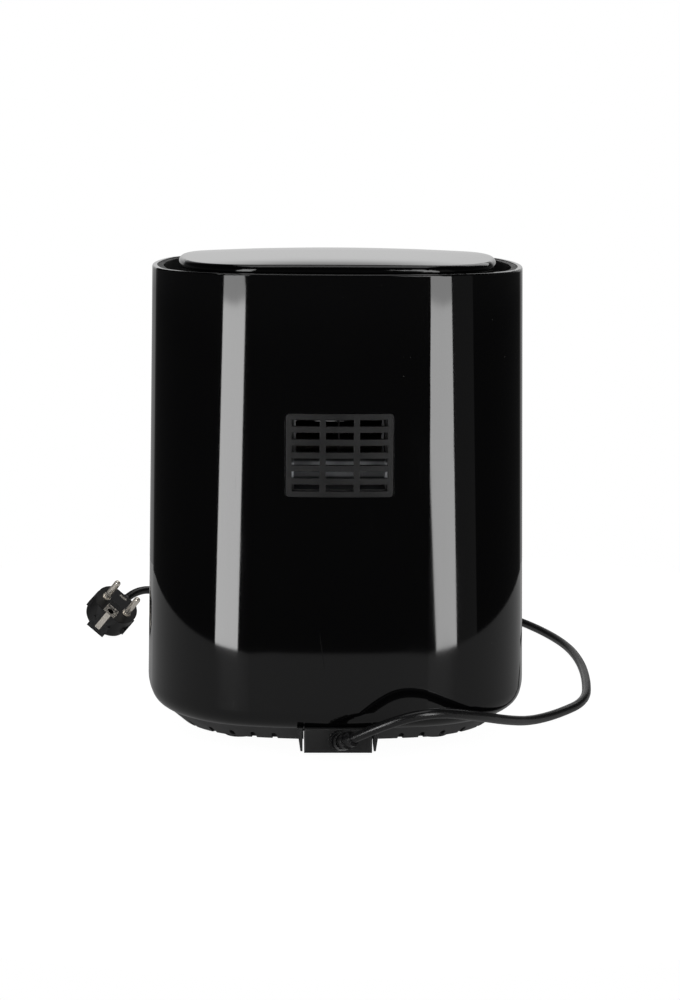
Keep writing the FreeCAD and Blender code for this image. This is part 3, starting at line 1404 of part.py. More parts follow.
def build():
    """Every piece by its name."""
    plug, plug_tip, plug_away = plug_pieces()
    pieces = {
        "outer_housing": outer_housing(),
        "top_deck": top_deck(),
        "top_cover": top_cover(),
        "base_cover": base_cover(),
        "feet": feet(),
        "foot_screws": foot_screws(),
        "rear_grille": rear_grille(),
        "exhaust_duct": exhaust_duct(),
        "cord_outlet": cord_outlet(),
        "strain_relief": strain_relief(),
        "power_cord": power_cord(plug_tip, plug_away),
        "chamber": chamber(),
        "chamber_rails": chamber_rails(),
        "drawer_frame": drawer_frame(),
        "drawer_front": drawer_front(),
        "drawer_bracket": drawer_bracket(),
        "pan": pan(),
        "handle": handle(),
        "handle_trim": trim_strip(),
        "handle_bolts": handle_bolts(),
        "crisper_plate": crisper_plate(),
        "plate_bumpers": plate_bumpers(),
        "control_panel": control_panel(),
        "indicator_lamps": indicator_lamps(),
        "heat_shield": heat_shield(),
        "heating_element": heating_element(),
        "element_straps": element_straps(),
        "element_guard": element_guard(),
        "hot_air_fan": fan(FAN_R, FAN_Z, FAN_BLADE, FAN_BLADES),
        "cooling_fan": fan(COOLER_R, COOLER_Z, COOLER_BLADE, COOLER_BLADES),
        "fan_nut": fan_nut(),
        "motor_shaft": motor_shaft(),
        "motor_rotor": motor_rotor(),
        "motor_core": motor_core(),
        "motor_coil": motor_coil(),
        "bearing_bridges": bearing_bridges(),
        "motor_bracket": motor_bracket(),
    }
    for name in KNOB_Z:
        pieces[f"{name}_knob"] = knob(name)
        pieces[f"{name}_knob_ring"] = knob_ring(name)
        pieces[f"{name}_shaft"] = knob_shaft(name)
        pieces[f"{name}_control"] = control_body(name)
    return {**pieces, **plug}


os.makedirs("parts", exist_ok=True)
for node, shape in build().items():
    shape = shape.copy()
    shape.translate(Vector(0, BODY_Y, 0))
    problems = [s for s in shape.Solids if not s.isValid()]
    if problems or not shape.Solids:
        print("check", node, len(shape.Solids), "solids,", len(problems), "not valid")
    shape.exportStep(f"parts/{node}.step")
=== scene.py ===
"""Studio scene of a basket air fryer, seen from behind on a white table.

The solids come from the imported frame. This script dresses every node with a
procedural finish, adds the lead, the plug's socket ring, the dial marks, the
pointers and the lamp lenses, and sets up the camera and the lights.
"""

import json
import logging
import math
from collections.abc import Iterator
from contextlib import contextmanager
from dataclasses import dataclass, field
from enum import Enum

import bpy
from mathutils import Euler, Matrix, Vector


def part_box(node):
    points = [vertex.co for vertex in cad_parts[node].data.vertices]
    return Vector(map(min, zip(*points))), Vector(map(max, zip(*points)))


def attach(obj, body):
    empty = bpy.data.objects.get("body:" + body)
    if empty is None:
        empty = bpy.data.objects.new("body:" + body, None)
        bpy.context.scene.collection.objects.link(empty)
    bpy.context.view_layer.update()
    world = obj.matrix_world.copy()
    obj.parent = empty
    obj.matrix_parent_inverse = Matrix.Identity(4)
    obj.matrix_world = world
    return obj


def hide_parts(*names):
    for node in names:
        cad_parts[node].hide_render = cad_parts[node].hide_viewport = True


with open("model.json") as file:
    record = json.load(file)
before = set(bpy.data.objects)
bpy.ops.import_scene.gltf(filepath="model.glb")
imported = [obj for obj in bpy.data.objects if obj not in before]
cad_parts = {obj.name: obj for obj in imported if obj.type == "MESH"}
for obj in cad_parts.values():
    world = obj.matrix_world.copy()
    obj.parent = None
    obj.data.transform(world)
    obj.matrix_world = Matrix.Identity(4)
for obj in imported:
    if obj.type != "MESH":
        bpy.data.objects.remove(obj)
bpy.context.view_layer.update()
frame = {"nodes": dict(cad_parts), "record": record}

LOG = logging.getLogger("air_fryer")
MM = 0.001
BODY_Y = 22 * MM
WHITE = (1.0, 1.0, 1.0, 1.0)
BLACK = (0.0, 0.0, 0.0, 1.0)

Colour = tuple[float, float, float]
Point = tuple[float, float, float]
Range = tuple[float, float]
Socket = bpy.types.NodeSocket

UNIT: Range = (0.0, 1.0)
FALLING: Range = (1.0, 0.0)
NOISE_MIDDLE: Range = (0.3, 0.7)


class Body(Enum):
    """Bodies that the added pieces ride on."""

    HOUSING = "housing"
    TEMPERATURE = "temperature_dial"
    TIMER = "timer_dial"


class Ramp(Enum):
    """How a value runs from one end of its range to the other."""

    SMOOTH = "SMOOTHSTEP"
    STRAIGHT = "LINEAR"


class Cells(Enum):
    """What is read in a pattern of cells."""

    MIDDLE = "F1"
    BORDER = "DISTANCE_TO_EDGE"


class Axis(Enum):
    """Axis that even lines follow one another along."""

    X = "X"
    Z = "Z"


class Slot(Enum):
    """Names of three material slots of the record; no added piece is given one."""

    SOFT = "soft_black"
    TRIM = "bright_trim"
    LAMP = "lamp_amber"


class NodeBoard:
    """Short way to lay out the nodes of one tree."""

    def __init__(self, tree: bpy.types.NodeTree) -> None:
        """Take a tree to work on."""
        self.tree = tree

    def add(self, kind: str, **settings: object) -> bpy.types.Node:
        """Add a node and set its properties.

        Args:
            kind: Node type.
            settings: Properties of the node by name.

        Returns:
            The new node.
        """
        node = self.tree.nodes.new(kind)
        for key, value in settings.items():
            setattr(node, key, value)
        return node

    def link(self, source: Socket, target: Socket) -> None:
        """Join two sockets."""
        self.tree.links.new(source, target)

    def feed(self, value: Socket | float, target: Socket) -> None:
        """Give a socket a number, or join it to another socket.

        Args:
            value: The number or the other socket.
            target: The socket that gets it.
        """
        if isinstance(value, float):
            target.default_value = value
        else:
            self.link(value, target)

    def math(self, operation: str, *values: Socket | float) -> Socket:
        """Compute with one or two values.

        Args:
            operation: Name of the operation.
            values: What goes into it.

        Returns:
            The result.
        """
        node = self.add("ShaderNodeMath", operation=operation)
        for value, target in zip(values, node.inputs):
            self.feed(value, target)
        return node.outputs["Value"]

    def blend(self, amount: Socket, low: Socket | float, high: Socket | float) -> Socket:
        """Blend between two values.

        Args:
            amount: 0 gives low and 1 gives high.
            low: First value.
            high: Second value.

        Returns:
            The blended value.
        """
        node = self.add("ShaderNodeMix")
        self.link(amount, node.inputs["Factor"])
        self.feed(low, node.inputs["A"])
        self.feed(high, node.inputs["B"])
        return node.outputs["Result"]

    def span(
        self, value: Socket, source: Range, target: Range = UNIT, ramp: Ramp = Ramp.SMOOTH
    ) -> Socket:
        """Map a value from one range to another and keep it within its ends.

        Args:
            value: What is mapped.
            source: Range that it comes from.
            target: Range that it goes to.
            ramp: How it runs between the ends.

        Returns:
            The mapped value.
        """
        node = self.add("ShaderNodeMapRange", interpolation_type=ramp.value)
        for name, number in zip(("From Min", "From Max", "To Min", "To Max"), source + target):
            node.inputs[name].default_value = number
        self.link(value, node.inputs["Value"])
        return node.outputs["Result"]

    def split(self, vector: Socket) -> bpy.types.NodeOutputs:
        """Part a vector into X, Y and Z.

        Args:
            vector: What is parted.

        Returns:
            The three values by name.
        """
        node = self.add("ShaderNodeSeparateXYZ")
        self.link(vector, node.inputs["Vector"])
        return node.outputs


class Sketch(NodeBoard):
    """One material on a principled shader."""

    def __init__(self, title: str) -> None:
        """Start the material.

        Args:
            title: Name of the material.
        """
        self.material = bpy.data.materials.new(title)
        self.material.use_nodes = True
        super().__init__(self.material.node_tree)
        self.shader = self.tree.nodes["Principled BSDF"].inputs
        self.coords = self.add("ShaderNodeTexCoord").outputs["Object"]

    def set(self, name: str, value: float | tuple[float, ...]) -> None:
        """Set one of the shader's own values."""
        self.shader[name].default_value = value

    def drive(self, name: str, value: Socket) -> None:
        """Let a pattern drive one of the shader's values."""
        self.link(value, self.shader[name])

    def stretched(self, scale: Point, lean: float = 0.0) -> Socket:
        """Object coordinates, scaled along each axis and turned about Y.

        Args:
            scale: Scale along X, Y and Z.
            lean: Turn about Y in degrees.

        Returns:
            The mapped vector.
        """
        mapping = self.add("ShaderNodeMapping")
        mapping.inputs["Scale"].default_value = scale
        mapping.inputs["Rotation"].default_value = (0.0, math.radians(lean), 0.0)
        self.link(self.coords, mapping.inputs["Vector"])
        return mapping.outputs["Vector"]

    def noise(self, scale: float, detail: float = 2.0, vector: Socket | None = None) -> Socket:
        """Noise over the piece.

        Args:
            scale: Waves per metre.
            detail: Finer octaves.
            vector: Where to read it, or the object coordinates.

        Returns:
            The noise value, about 0.5 on average.
        """
        node = self.add("ShaderNodeTexNoise")
        node.inputs["Scale"].default_value = scale
        node.inputs["Detail"].default_value = detail
        self.link(vector or self.coords, node.inputs["Vector"])
        return node.outputs["Fac"]

    def cells(
        self, scale: float, reading: Cells = Cells.MIDDLE, vector: Socket | None = None
    ) -> bpy.types.NodeOutputs:
        """Pattern of scattered cells.

        Args:
            scale: Cells per metre.
            reading: Which distance is read.
            vector: Where to read it, or the object coordinates.

        Returns:
            The distance, in cell sizes, and the cells' colours by name.
        """
        node = self.add("ShaderNodeTexVoronoi", feature=reading.value)
        node.inputs["Scale"].default_value = scale
        self.link(vector or self.coords, node.inputs["Vector"])
        return node.outputs

    def tint(self, amount: Socket, low: Colour, high: Colour) -> None:
        """Colour the surface between two colours.

        Args:
            amount: 0 gives low and 1 gives high.
            low: First colour.
            high: Second colour.
        """
        mix = self.add("ShaderNodeMix", data_type="RGBA")
        colours = [s for s in mix.inputs if s.type == "RGBA"]
        colours[0].default_value = (*low, 1.0)
        colours[1].default_value = (*high, 1.0)
        self.link(amount, mix.inputs["Factor"])
        self.drive("Base Color", next(s for s in mix.outputs if s.type == "RGBA"))

    def relief(self, height: Socket | None, depth: float, edge: float = 0.0) -> None:
        """Give the surface a relief and soften its sharp edges.

        Args:
            height: Relief value, or None for a smooth surface.
            depth: Height in metres of a relief value of 1.
            edge: Radius in metres of the softened edges, or 0.
        """
        normal = None
        if edge:
            bevel = self.add("ShaderNodeBevel", samples=6)
            bevel.inputs["Radius"].default_value = edge
            normal = bevel.outputs["Normal"]
        if height is not None:
            bump = self.add("ShaderNodeBump")
            bump.inputs["Distance"].default_value = depth
            self.link(height, bump.inputs["Height"])
            if normal is not None:
                self.link(normal, bump.inputs["Normal"])
            normal = bump.outputs["Normal"]
        if normal is not None:
            self.drive("Normal", normal)


@dataclass(frozen=True)
class Finish:
    """A surface finish that makes one material.

    Attributes:
        title: Name of the material.
        shade: Main colour.
        roughness: Mean roughness.
        metallic: 1 for bare metal.
        edge: Radius in metres to which sharp edges are softened.
        specular: Strength of the clear gloss, 0.5 for common plastic.
        spread: Shares of the roughness between which the gloss varies.
        clouds: Waves per metre and octaves of the soft clouds over the piece.
    """

    title: str
    shade: Colour
    roughness: float
    metallic: float = 0.0
    edge: float = 0.0
    specular: float = 0.5
    spread: Range = (0.85, 1.15)
    clouds: Range = (90.0, 4.0)

    def material(self) -> bpy.types.Material:
        """Build the material at its first use.

        Returns:
            The material.
        """
        known = bpy.data.materials.get(f"{self.title}_finish")
        if known is not None:
            return known
        sketch = Sketch(f"{self.title}_finish")
        sketch.set("Base Color", (*self.shade, 1.0))
        sketch.set("Roughness", self.roughness)
        sketch.set("Metallic", self.metallic)
        sketch.set("Specular IOR Level", self.specular)
        self.detail(sketch)
        return sketch.material

    def detail(self, sketch: Sketch) -> None:
        """Soften the edges and vary the gloss a little.

        Args:
            sketch: Material that is being made.
        """
        self.vary_gloss(sketch, sketch.noise(*self.clouds))
        sketch.relief(None, 0.0, self.edge)

    def vary_gloss(self, sketch: Sketch, pattern: Socket) -> None:
        """Let a noise vary the roughness.

        Args:
            sketch: Material that is being made.
            pattern: The noise.
        """
        low, high = self.spread
        target = (low * self.roughness, high * self.roughness)
        sketch.drive("Roughness", sketch.span(pattern, NOISE_MIDDLE, target))

    def vary_tone(self, sketch: Sketch, amount: Socket, tones: Range) -> None:
        """Shade the colour between two tones.

        Args:
            sketch: Material that is being made.
            amount: 0 gives the darker tone and 1 the lighter one.
            tones: Shares of the colour that they have.
        """
        low, high = (tuple(min(1.0, tone * c) for c in self.shade) for tone in tones)
        sketch.tint(amount, low, high)


@dataclass(frozen=True)
class PolishedMoulding(Finish):
    """Polished black plastic with wipe marks, hairlines and a little dust.

    Attributes:
        wipe_scale: Wipe marks per metre.
        wipe_lean: How far they lean, in degrees.
        wipe_gloss: Roughness that they add.
        line_scale: Hairlines per metre.
        line_lean: How far they lean, in degrees.
        line_width: Their width, in cell sizes.
        line_gloss: Roughness that they add.
        dust: Colour of the dust.
        dust_scale: Specks per metre.
        dust_size: Radii of a speck's core and rim, in cell sizes.
    """

    wipe_scale: float = 14.0
    wipe_lean: float = 18.0
    wipe_gloss: float = 0.05
    line_scale: float = 26.0
    line_lean: float = 37.0
    line_width: float = 0.006
    line_gloss: float = 0.16
    dust: Colour = (0.05, 0.05, 0.048)
    dust_scale: float = 210.0
    dust_size: Range = (0.03, 0.07)

    def wipes(self, sketch: Sketch) -> Socket:
        """Broad slanted wipe marks.

        Args:
            sketch: Material that is being made.

        Returns:
            The roughness that they add.
        """
        slanted = sketch.stretched((1.0, 1.0, 0.5), self.wipe_lean)
        marks = sketch.noise(self.wipe_scale, 3.0, slanted)
        return sketch.span(marks, (0.52, 0.75), (0.0, self.wipe_gloss))

    def hairlines(self, sketch: Sketch) -> Socket:
        """Long slanted hairlines here and there.

        Args:
            sketch: Material that is being made.

        Returns:
            The roughness that they add.
        """
        slanted = sketch.stretched((1.0, 1.0, 0.16), self.line_lean)
        lines = sketch.cells(self.line_scale, Cells.BORDER, slanted)["Distance"]
        lines = sketch.span(lines, (0.0, self.line_width), FALLING)
        rare = sketch.span(sketch.noise(20.0, 1.0), (0.6, 0.68), (0.0, self.line_gloss))
        return sketch.math("MULTIPLY", lines, rare)

    def detail(self, sketch: Sketch) -> None:
        """Add wipe marks, hairlines and dust.

        Args:
            sketch: Material that is being made.
        """
        marks = sketch.math("ADD", self.wipes(sketch), self.hairlines(sketch))
        sketch.drive("Roughness", sketch.math("ADD", marks, self.roughness))
        specks = sketch.span(sketch.cells(self.dust_scale)["Distance"], self.dust_size, FALLING)
        few = sketch.span(sketch.noise(45.0), (0.62, 0.7))
        sketch.tint(sketch.math("MULTIPLY", specks, few), self.shade, self.dust)
        sketch.relief(None, 0.0, self.edge)


@dataclass(frozen=True)
class SparkMoulding(Finish):
    """Plastic from a spark-eroded mould: fine grain and satin gloss.

    Attributes:
        tones: Shares of the colour between which it is shaded.
        grain: Bumps per metre.
        depth: Depth in metres of the grain.
    """

    spread: Range = (0.88, 1.12)
    tones: Range = (0.9, 1.12)
    clouds: Range = (60.0, 3.0)
    grain: float = 2600.0
    depth: float = 0.00004

    def detail(self, sketch: Sketch) -> None:
        """Add the grain and soft variations of gloss and colour.

        Args:
            sketch: Material that is being made.
        """
        clouds = sketch.noise(*self.clouds)
        self.vary_gloss(sketch, clouds)
        self.vary_tone(sketch, sketch.span(clouds, (0.35, 0.7)), self.tones)
        sketch.relief(sketch.noise(self.grain), self.depth, self.edge)


@dataclass(frozen=True)
class RolledSheet(Finish):
    """Galvanised sheet with faint crystals and rolling lines.

    Attributes:
        tones: Shares of the colour between which it is shaded.
        crystals: Crystals per metre.
        rolling: Rolling lines per metre.
        depth: Depth in metres of the lines.
    """

    spread: Range = (0.8, 1.25)
    tones: Range = (0.84, 1.1)
    crystals: float = 130.0
    rolling: float = 700.0
    depth: float = 0.00001

    def rolling_lines(self, sketch: Sketch) -> Socket:
        """Fine lines across X, given to the relief.

        Args:
            sketch: Material that is being made.

        Returns:
            The lines' noise value.
        """
        lines = sketch.noise(self.rolling, vector=sketch.stretched((1.0, 0.02, 0.02)))
        sketch.relief(lines, self.depth, self.edge)
        return lines

    def detail(self, sketch: Sketch) -> None:
        """Add the crystals and the rolling lines.

        Args:
            sketch: Material that is being made.
        """
        flake = sketch.add("ShaderNodeSeparateColor")
        sketch.link(sketch.cells(self.crystals)["Color"], flake.inputs["Color"])
        self.vary_tone(sketch, flake.outputs["Red"], self.tones)
        self.vary_gloss(sketch, self.rolling_lines(sketch))


@dataclass(frozen=True)
class SootedSheet(RolledSheet):
    """Sheet darkened with painted shade, except for a band across its slanted deflector.

    Attributes:
        soot: Colour of the painted shade that stands in for the dark inside of the duct.
        bare: Heights between which the sheet is left bare of painted shade.
        half_width: How far from the middle it is left bare of painted shade.
        blend: Length over which the painted shade sets in.
    """

    soot: Colour = (0.012, 0.012, 0.012)
    bare: Range = (0.169, 0.1785)
    half_width: float = 0.0275
    blend: float = 0.002

    def detail(self, sketch: Sketch) -> None:
        """Add the painted shade and the rolling lines.

        Args:
            sketch: Material that is being made.
        """
        place = sketch.split(sketch.coords)
        low, high = self.bare
        above = sketch.span(place["Z"], (low - self.blend, low))
        below = sketch.span(place["Z"], (high, high + self.blend), FALLING)
        aside = sketch.math("ABSOLUTE", place["X"])
        inside = sketch.span(aside, (self.half_width, self.half_width + self.blend), FALLING)
        bright = sketch.math("MULTIPLY", sketch.math("MULTIPLY", above, below), inside)
        # Painted shade: outside a band on the deflector, the sheet is darkened to near black to stand
        # in for the dark inside of the duct.
        sketch.tint(bright, self.soot, self.shade)
        self.rolling_lines(sketch)


@dataclass(frozen=True)
class BrushedMetal(Finish):
    """Metal with fine upright lines.

    Attributes:
        tones: Shares of the colour between which it is shaded.
        grain: Lines per metre.
        depth: Depth in metres of the lines.
    """

    spread: Range = (0.7, 1.4)
    tones: Range = (0.9, 1.06)
    grain: float = 1500.0
    depth: float = 0.000006

    def detail(self, sketch: Sketch) -> None:
        """Add the brushed lines.

        Args:
            sketch: Material that is being made.
        """
        lines = sketch.noise(self.grain, vector=sketch.stretched((1.0, 1.0, 0.02)))
        self.vary_gloss(sketch, lines)
        self.vary_tone(sketch, sketch.span(lines, NOISE_MIDDLE), self.tones)
        sketch.relief(lines, self.depth, self.edge)


@dataclass(frozen=True)
class SpeckledCoat(Finish):
    """Non-stick coat with pale specks and a fine orange-peel surface.

    Attributes:
        speck: Colour of the specks.
        speck_scale: Specks per metre.
        speck_size: Radii of a speck's core and rim, in cell sizes.
        peel: Bumps per metre of the orange peel.
        depth: Depth in metres of the orange peel.
    """

    spread: Range = (0.85, 1.2)
    clouds: Range = (35.0, 3.0)
    speck: Colour = (0.16, 0.16, 0.165)
    speck_scale: float = 620.0
    speck_size: Range = (0.1, 0.17)
    peel: float = 480.0
    depth: float = 0.00003

    def detail(self, sketch: Sketch) -> None:
        """Add specks and orange peel.

        Args:
            sketch: Material that is being made.
        """
        specks = sketch.span(sketch.cells(self.speck_scale)["Distance"], self.speck_size, FALLING)
        some = sketch.span(sketch.noise(900.0, 1.0), (0.5, 0.56), (0.0, 0.9))
        sketch.tint(sketch.math("MULTIPLY", specks, some), self.shade, self.speck)
        self.vary_gloss(sketch, sketch.noise(*self.clouds))
        sketch.relief(sketch.noise(self.peel), self.depth, self.edge)


@dataclass(frozen=True)
class Layered(Finish):
    """Stacked sheets or turns of tape: even lines across one axis.

    Attributes:
        tones: Shares of the colour between which it is shaded.
        pitch: From one line to the next, in metres.
        axis: Axis that they follow one another along.
        depth: Depth in metres of the lines.
        waver: How much the lines waver.
        wave_turn: Radians in one unit of the wave texture.
    """

    tones: Range = (0.72, 1.1)
    pitch: float = 0.0006
    axis: Axis = Axis.Z
    depth: float = 0.00012
    waver: float = 0.15
    wave_turn: float = 20.0

    def detail(self, sketch: Sketch) -> None:
        """Add the lines.

        Args:
            sketch: Material that is being made.
        """
        wave = sketch.add("ShaderNodeTexWave", bands_direction=self.axis.value)
        wave.inputs["Scale"].default_value = math.tau / (self.wave_turn * self.pitch)
        wave.inputs["Distortion"].default_value = self.waver
        sketch.link(sketch.coords, wave.inputs["Vector"])
        lines = wave.outputs["Fac"]
        self.vary_tone(sketch, lines, self.tones)
        sketch.relief(lines, self.depth, self.edge)


@dataclass(frozen=True)
class ClearLens(Finish):
    """Tinted clear plastic, a little cloudy inside.

    Attributes:
        tones: Shares of the colour between which it is shaded.
        clear: Share of the light that passes through.
    """

    tones: Range = (0.75, 1.0)
    clouds: Range = (420.0, 3.0)
    clear: float = 0.35

    def detail(self, sketch: Sketch) -> None:
        """Let some light through and cloud the colour.

        Args:
            sketch: Material that is being made.
        """
        sketch.set("Transmission Weight", self.clear)
        self.vary_tone(sketch, sketch.span(sketch.noise(*self.clouds), (0.35, 0.65)), self.tones)


GLOSS_BLACK = PolishedMoulding("gloss_black", (0.0011, 0.0011, 0.0012), 0.045, edge=0.0008)
MATTE_BLACK = SparkMoulding("matte_black", (0.011, 0.011, 0.0115), 0.42, edge=0.0004)
OUTLET_BLACK = SparkMoulding("outlet_black", (0.0045, 0.0045, 0.0047), 0.45, edge=0.0004)
GRILLE_GREY = SparkMoulding(
    "grille_grey", (0.0036, 0.0036, 0.0038), 0.5, edge=0.0005, specular=0.32, depth=0.00005
)
SOFT_BLACK = SparkMoulding("soft_black", (0.0055, 0.0055, 0.0058), 0.36, edge=0.0005, depth=0.00002)
LEAD_BLACK = SparkMoulding("lead_black", (0.005, 0.005, 0.0053), 0.26, edge=0.0003, depth=0.000008)
RUBBER = SparkMoulding("rubber_feet", (0.016, 0.016, 0.016), 0.72, edge=0.0005, grain=1800.0)
SILICONE = SparkMoulding("silicone", (0.04, 0.04, 0.043), 0.62, edge=0.0008, grain=900.0)
PHENOLIC = SparkMoulding("control_grey", (0.3, 0.3, 0.31), 0.5, edge=0.0004)
SHEET = RolledSheet("sheet_steel", (0.5, 0.51, 0.52), 0.36, 1.0, edge=0.0003)
# Duct sheet whose finish paints shade over everything except a band of its deflector.
DUCT_SHEET = SootedSheet("duct_sheet", (0.44, 0.45, 0.47), 0.5, 0.4, edge=0.0003)
HEATED_STEEL = BrushedMetal("heated_steel", (0.05, 0.048, 0.047), 0.5, 1.0, edge=0.0003)
ZINC = BrushedMetal("zinc_steel", (0.56, 0.57, 0.58), 0.3, 1.0, edge=0.0002)
BRIGHT = BrushedMetal("bright_trim", (0.72, 0.72, 0.73), 0.2, 1.0, edge=0.0003)
SHEATH = BrushedMetal("heater_sheath", (0.2, 0.185, 0.17), 0.45, 1.0)
WIRE = BrushedMetal("plated_wire", (0.6, 0.6, 0.61), 0.24, 1.0)
ALUMINIUM = BrushedMetal("fan_aluminium", (0.66, 0.67, 0.68), 0.34, 1.0, edge=0.0003)
NON_STICK = SpeckledCoat("coated_metal", (0.028, 0.028, 0.03), 0.38, edge=0.0005)
IRON = Layered("motor_iron", (0.12, 0.12, 0.13), 0.5, 0.7, edge=0.0002)
TAPE = Layered(
    "coil_tape", (0.6, 0.45, 0.12), 0.42, edge=0.0003, pitch=0.006, axis=Axis.X, depth=0.0001
)
AMBER = ClearLens("lamp_amber", (0.75, 0.2, 0.03), 0.12)
CONTACT = Finish("plated_contacts", (0.95, 0.89, 0.8), 0.15, 0.78, edge=0.0002)
INK = Finish("dial_ink", (0.74, 0.74, 0.73), 0.5)

NODE_FINISHES: dict[Finish, tuple[str, ...]] = {
    GLOSS_BLACK: ("outer_housing", "top_cover", "drawer_front", "control_panel"),
    MATTE_BLACK: (
        "top_deck",
        "base_cover",
        "drawer_frame",
        "drawer_bracket",
        "handle",
        "temperature_knob",
        "timer_knob",
    ),
    OUTLET_BLACK: ("cord_outlet",),
    GRILLE_GREY: ("rear_grille",),
    SOFT_BLACK: ("plug_body", "plug_arm"),
    LEAD_BLACK: ("strain_relief", "power_cord"),
    RUBBER: ("feet",),
    SILICONE: ("plate_bumpers",),
    PHENOLIC: ("temperature_control", "timer_control"),
    SHEET: ("chamber", "chamber_rails", "heat_shield", "motor_bracket"),
    DUCT_SHEET: ("exhaust_duct",),
    HEATED_STEEL: ("element_straps",),
    ZINC: (
        "foot_screws",
        "handle_bolts",
        "fan_nut",
        "motor_shaft",
        "temperature_shaft",
        "timer_shaft",
    ),
    BRIGHT: ("handle_trim", "temperature_knob_ring", "timer_knob_ring"),
    SHEATH: ("heating_element",),
    WIRE: ("element_guard",),
    ALUMINIUM: ("hot_air_fan", "cooling_fan", "bearing_bridges"),
    NON_STICK: ("pan", "crisper_plate"),
    IRON: ("motor_rotor", "motor_core"),
    TAPE: ("motor_coil",),
    AMBER: ("indicator_lamps",),
    CONTACT: ("plug_pins", "plug_earth_contacts"),
}


def select_only(*objects: bpy.types.Object) -> None:
    """Select these objects alone and make the first one active.

    Args:
        objects: What is selected.
    """
    bpy.ops.object.select_all(action="DESELECT")
    for item in objects:
        item.select_set(True)
    bpy.context.view_layer.objects.active = objects[0]


@contextmanager
def editing() -> Iterator[None]:
    """Shape the active mesh in edit mode, with all of it selected.

    Yields:
        Nothing; edit mode ends with the block.
    """
    bpy.ops.object.mode_set(mode="EDIT")
    bpy.ops.mesh.select_all(action="SELECT")
    yield
    bpy.ops.object.mode_set(mode="OBJECT")


def raise_faces(height: float) -> None:
    """Extrude the selected faces along Z."""
    bpy.ops.mesh.extrude_region_move(TRANSFORM_OT_translate={"value": (0.0, 0.0, height)})


def add_modifier(piece: bpy.types.Object, kind: str, **settings: object) -> None:
    """Add a modifier and apply it.

    Args:
        piece: Object that gets it.
        kind: Modifier type.
        settings: Its properties by name.
    """
    select_only(piece)
    modifier = piece.modifiers.new(kind.title(), kind)
    for key, value in settings.items():
        setattr(modifier, key, value)
    bpy.ops.object.modifier_apply(modifier=modifier.name)


def apply_place(piece: bpy.types.Object) -> None:
    """Put an object's place, turn and scale into its mesh."""
    select_only(piece)
    bpy.ops.object.transform_apply(location=True, rotation=True, scale=True)


def add_to_scene(name: str, data: bpy.types.ID) -> bpy.types.Object:
    """Make an object of some data and show it.

    Args:
        name: Name of the object.
        data: Its mesh, curve, light or camera.

    Returns:
        The object.
    """
    item = bpy.data.objects.new(name, data)
    bpy.context.scene.collection.objects.link(item)
    return item


def paint(piece: bpy.types.Object, finish: Finish) -> None:
    """Give a piece one finish all over."""
    piece.data.materials.clear()
    piece.data.materials.append(finish.material())


def settle(
    piece: bpy.types.Object, name: str, finish: Finish, body: Body
) -> bpy.types.Object:
    """Name, place and dress a finished piece, and let it ride on a body.

    Args:
        piece: The modelled object.
        name: Its name.
        finish: Its finish.
        body: Body that it moves with.

    Returns:
        The piece.
    """
    apply_place(piece)
    piece.name = name
    paint(piece, finish)
    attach(piece, body.value)
    LOG.info("%s rides on %s", name, body.value)
    return piece


@dataclass
class Solids:
    """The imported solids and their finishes.

    Attributes:
        nodes: The nodes' objects by name.
    """

    nodes: dict[str, bpy.types.Object] = field(default_factory=lambda: frame["nodes"])

    def dress(self) -> None:
        """Give every node its finish."""
        for finish, names in NODE_FINISHES.items():
            for name in names:
                paint(self.nodes[name], finish)
                LOG.info("%s is dressed in %s", name, finish.title)


@dataclass
class EarthSocket:
    """The plastic ring that parts the plug's earth frame from its socket.

    Attributes:
        name: Name of the ring.
        offset: How far the socket lies from the row of pins.
        side: Outer width of the ring.
        band: Width of its band.
        height: How far it stands up.
        corner: Radius of its corners.
        edge: Radius of its edges.
        lift: Gap to the frame below it.
    """

    name: str = "earth_socket_ring"
    offset: float = 9.1 * MM
    side: float = 8.0 * MM
    band: float = 0.8 * MM
    height: float = 0.2 * MM
    corner: float = 1.0 * MM
    edge: float = 0.05 * MM
    lift: float = 0.02 * MM

    def place(self) -> Matrix:
        """Where the ring lies on the plug's face.

        The pins are as long, collars included, as they are apart.

        Returns:
            The ring's place, with Z along the pins and X along their row.
        """
        pins = [mount for mount in frame["record"]["mounts"] if mount["name"].startswith("plug_pin")]
        first, second = (Vector(pin["pos_m"]) for pin in pins)
        along = Vector(pins[0]["axis"]).normalized()
        row = (second - first).normalized()
        across = along.cross(row)
        collar = (second - first).length - pins[0]["dims"]["length_mm"] * MM
        spot = (first + second) / 2 - along * (collar - self.lift) - across * self.offset
        return Matrix.Translation(spot) @ Matrix((row, across, along)).transposed().to_4x4()

    def build(self) -> bpy.types.Object:
        """Model the ring from a square plate.

        Returns:
            The ring.
        """
        bpy.ops.object.select_all(action="DESELECT")
        bpy.ops.mesh.primitive_plane_add(size=self.side)
        ring = bpy.context.object
        with editing():
            bpy.ops.mesh.bevel(offset=self.corner, segments=5, affect="VERTICES")
            bpy.ops.mesh.select_all(action="SELECT")
            bpy.ops.mesh.inset(thickness=self.band)
            bpy.ops.mesh.delete(type="FACE")
            bpy.ops.mesh.select_all(action="SELECT")
            raise_faces(self.height)
            bpy.ops.mesh.select_all(action="SELECT")
            bpy.ops.mesh.normals_make_consistent(inside=False)
        add_modifier(ring, "BEVEL", width=self.edge, segments=2)
        ring.matrix_world = self.place()
        return settle(ring, self.name, SOFT_BLACK, Body.HOUSING)


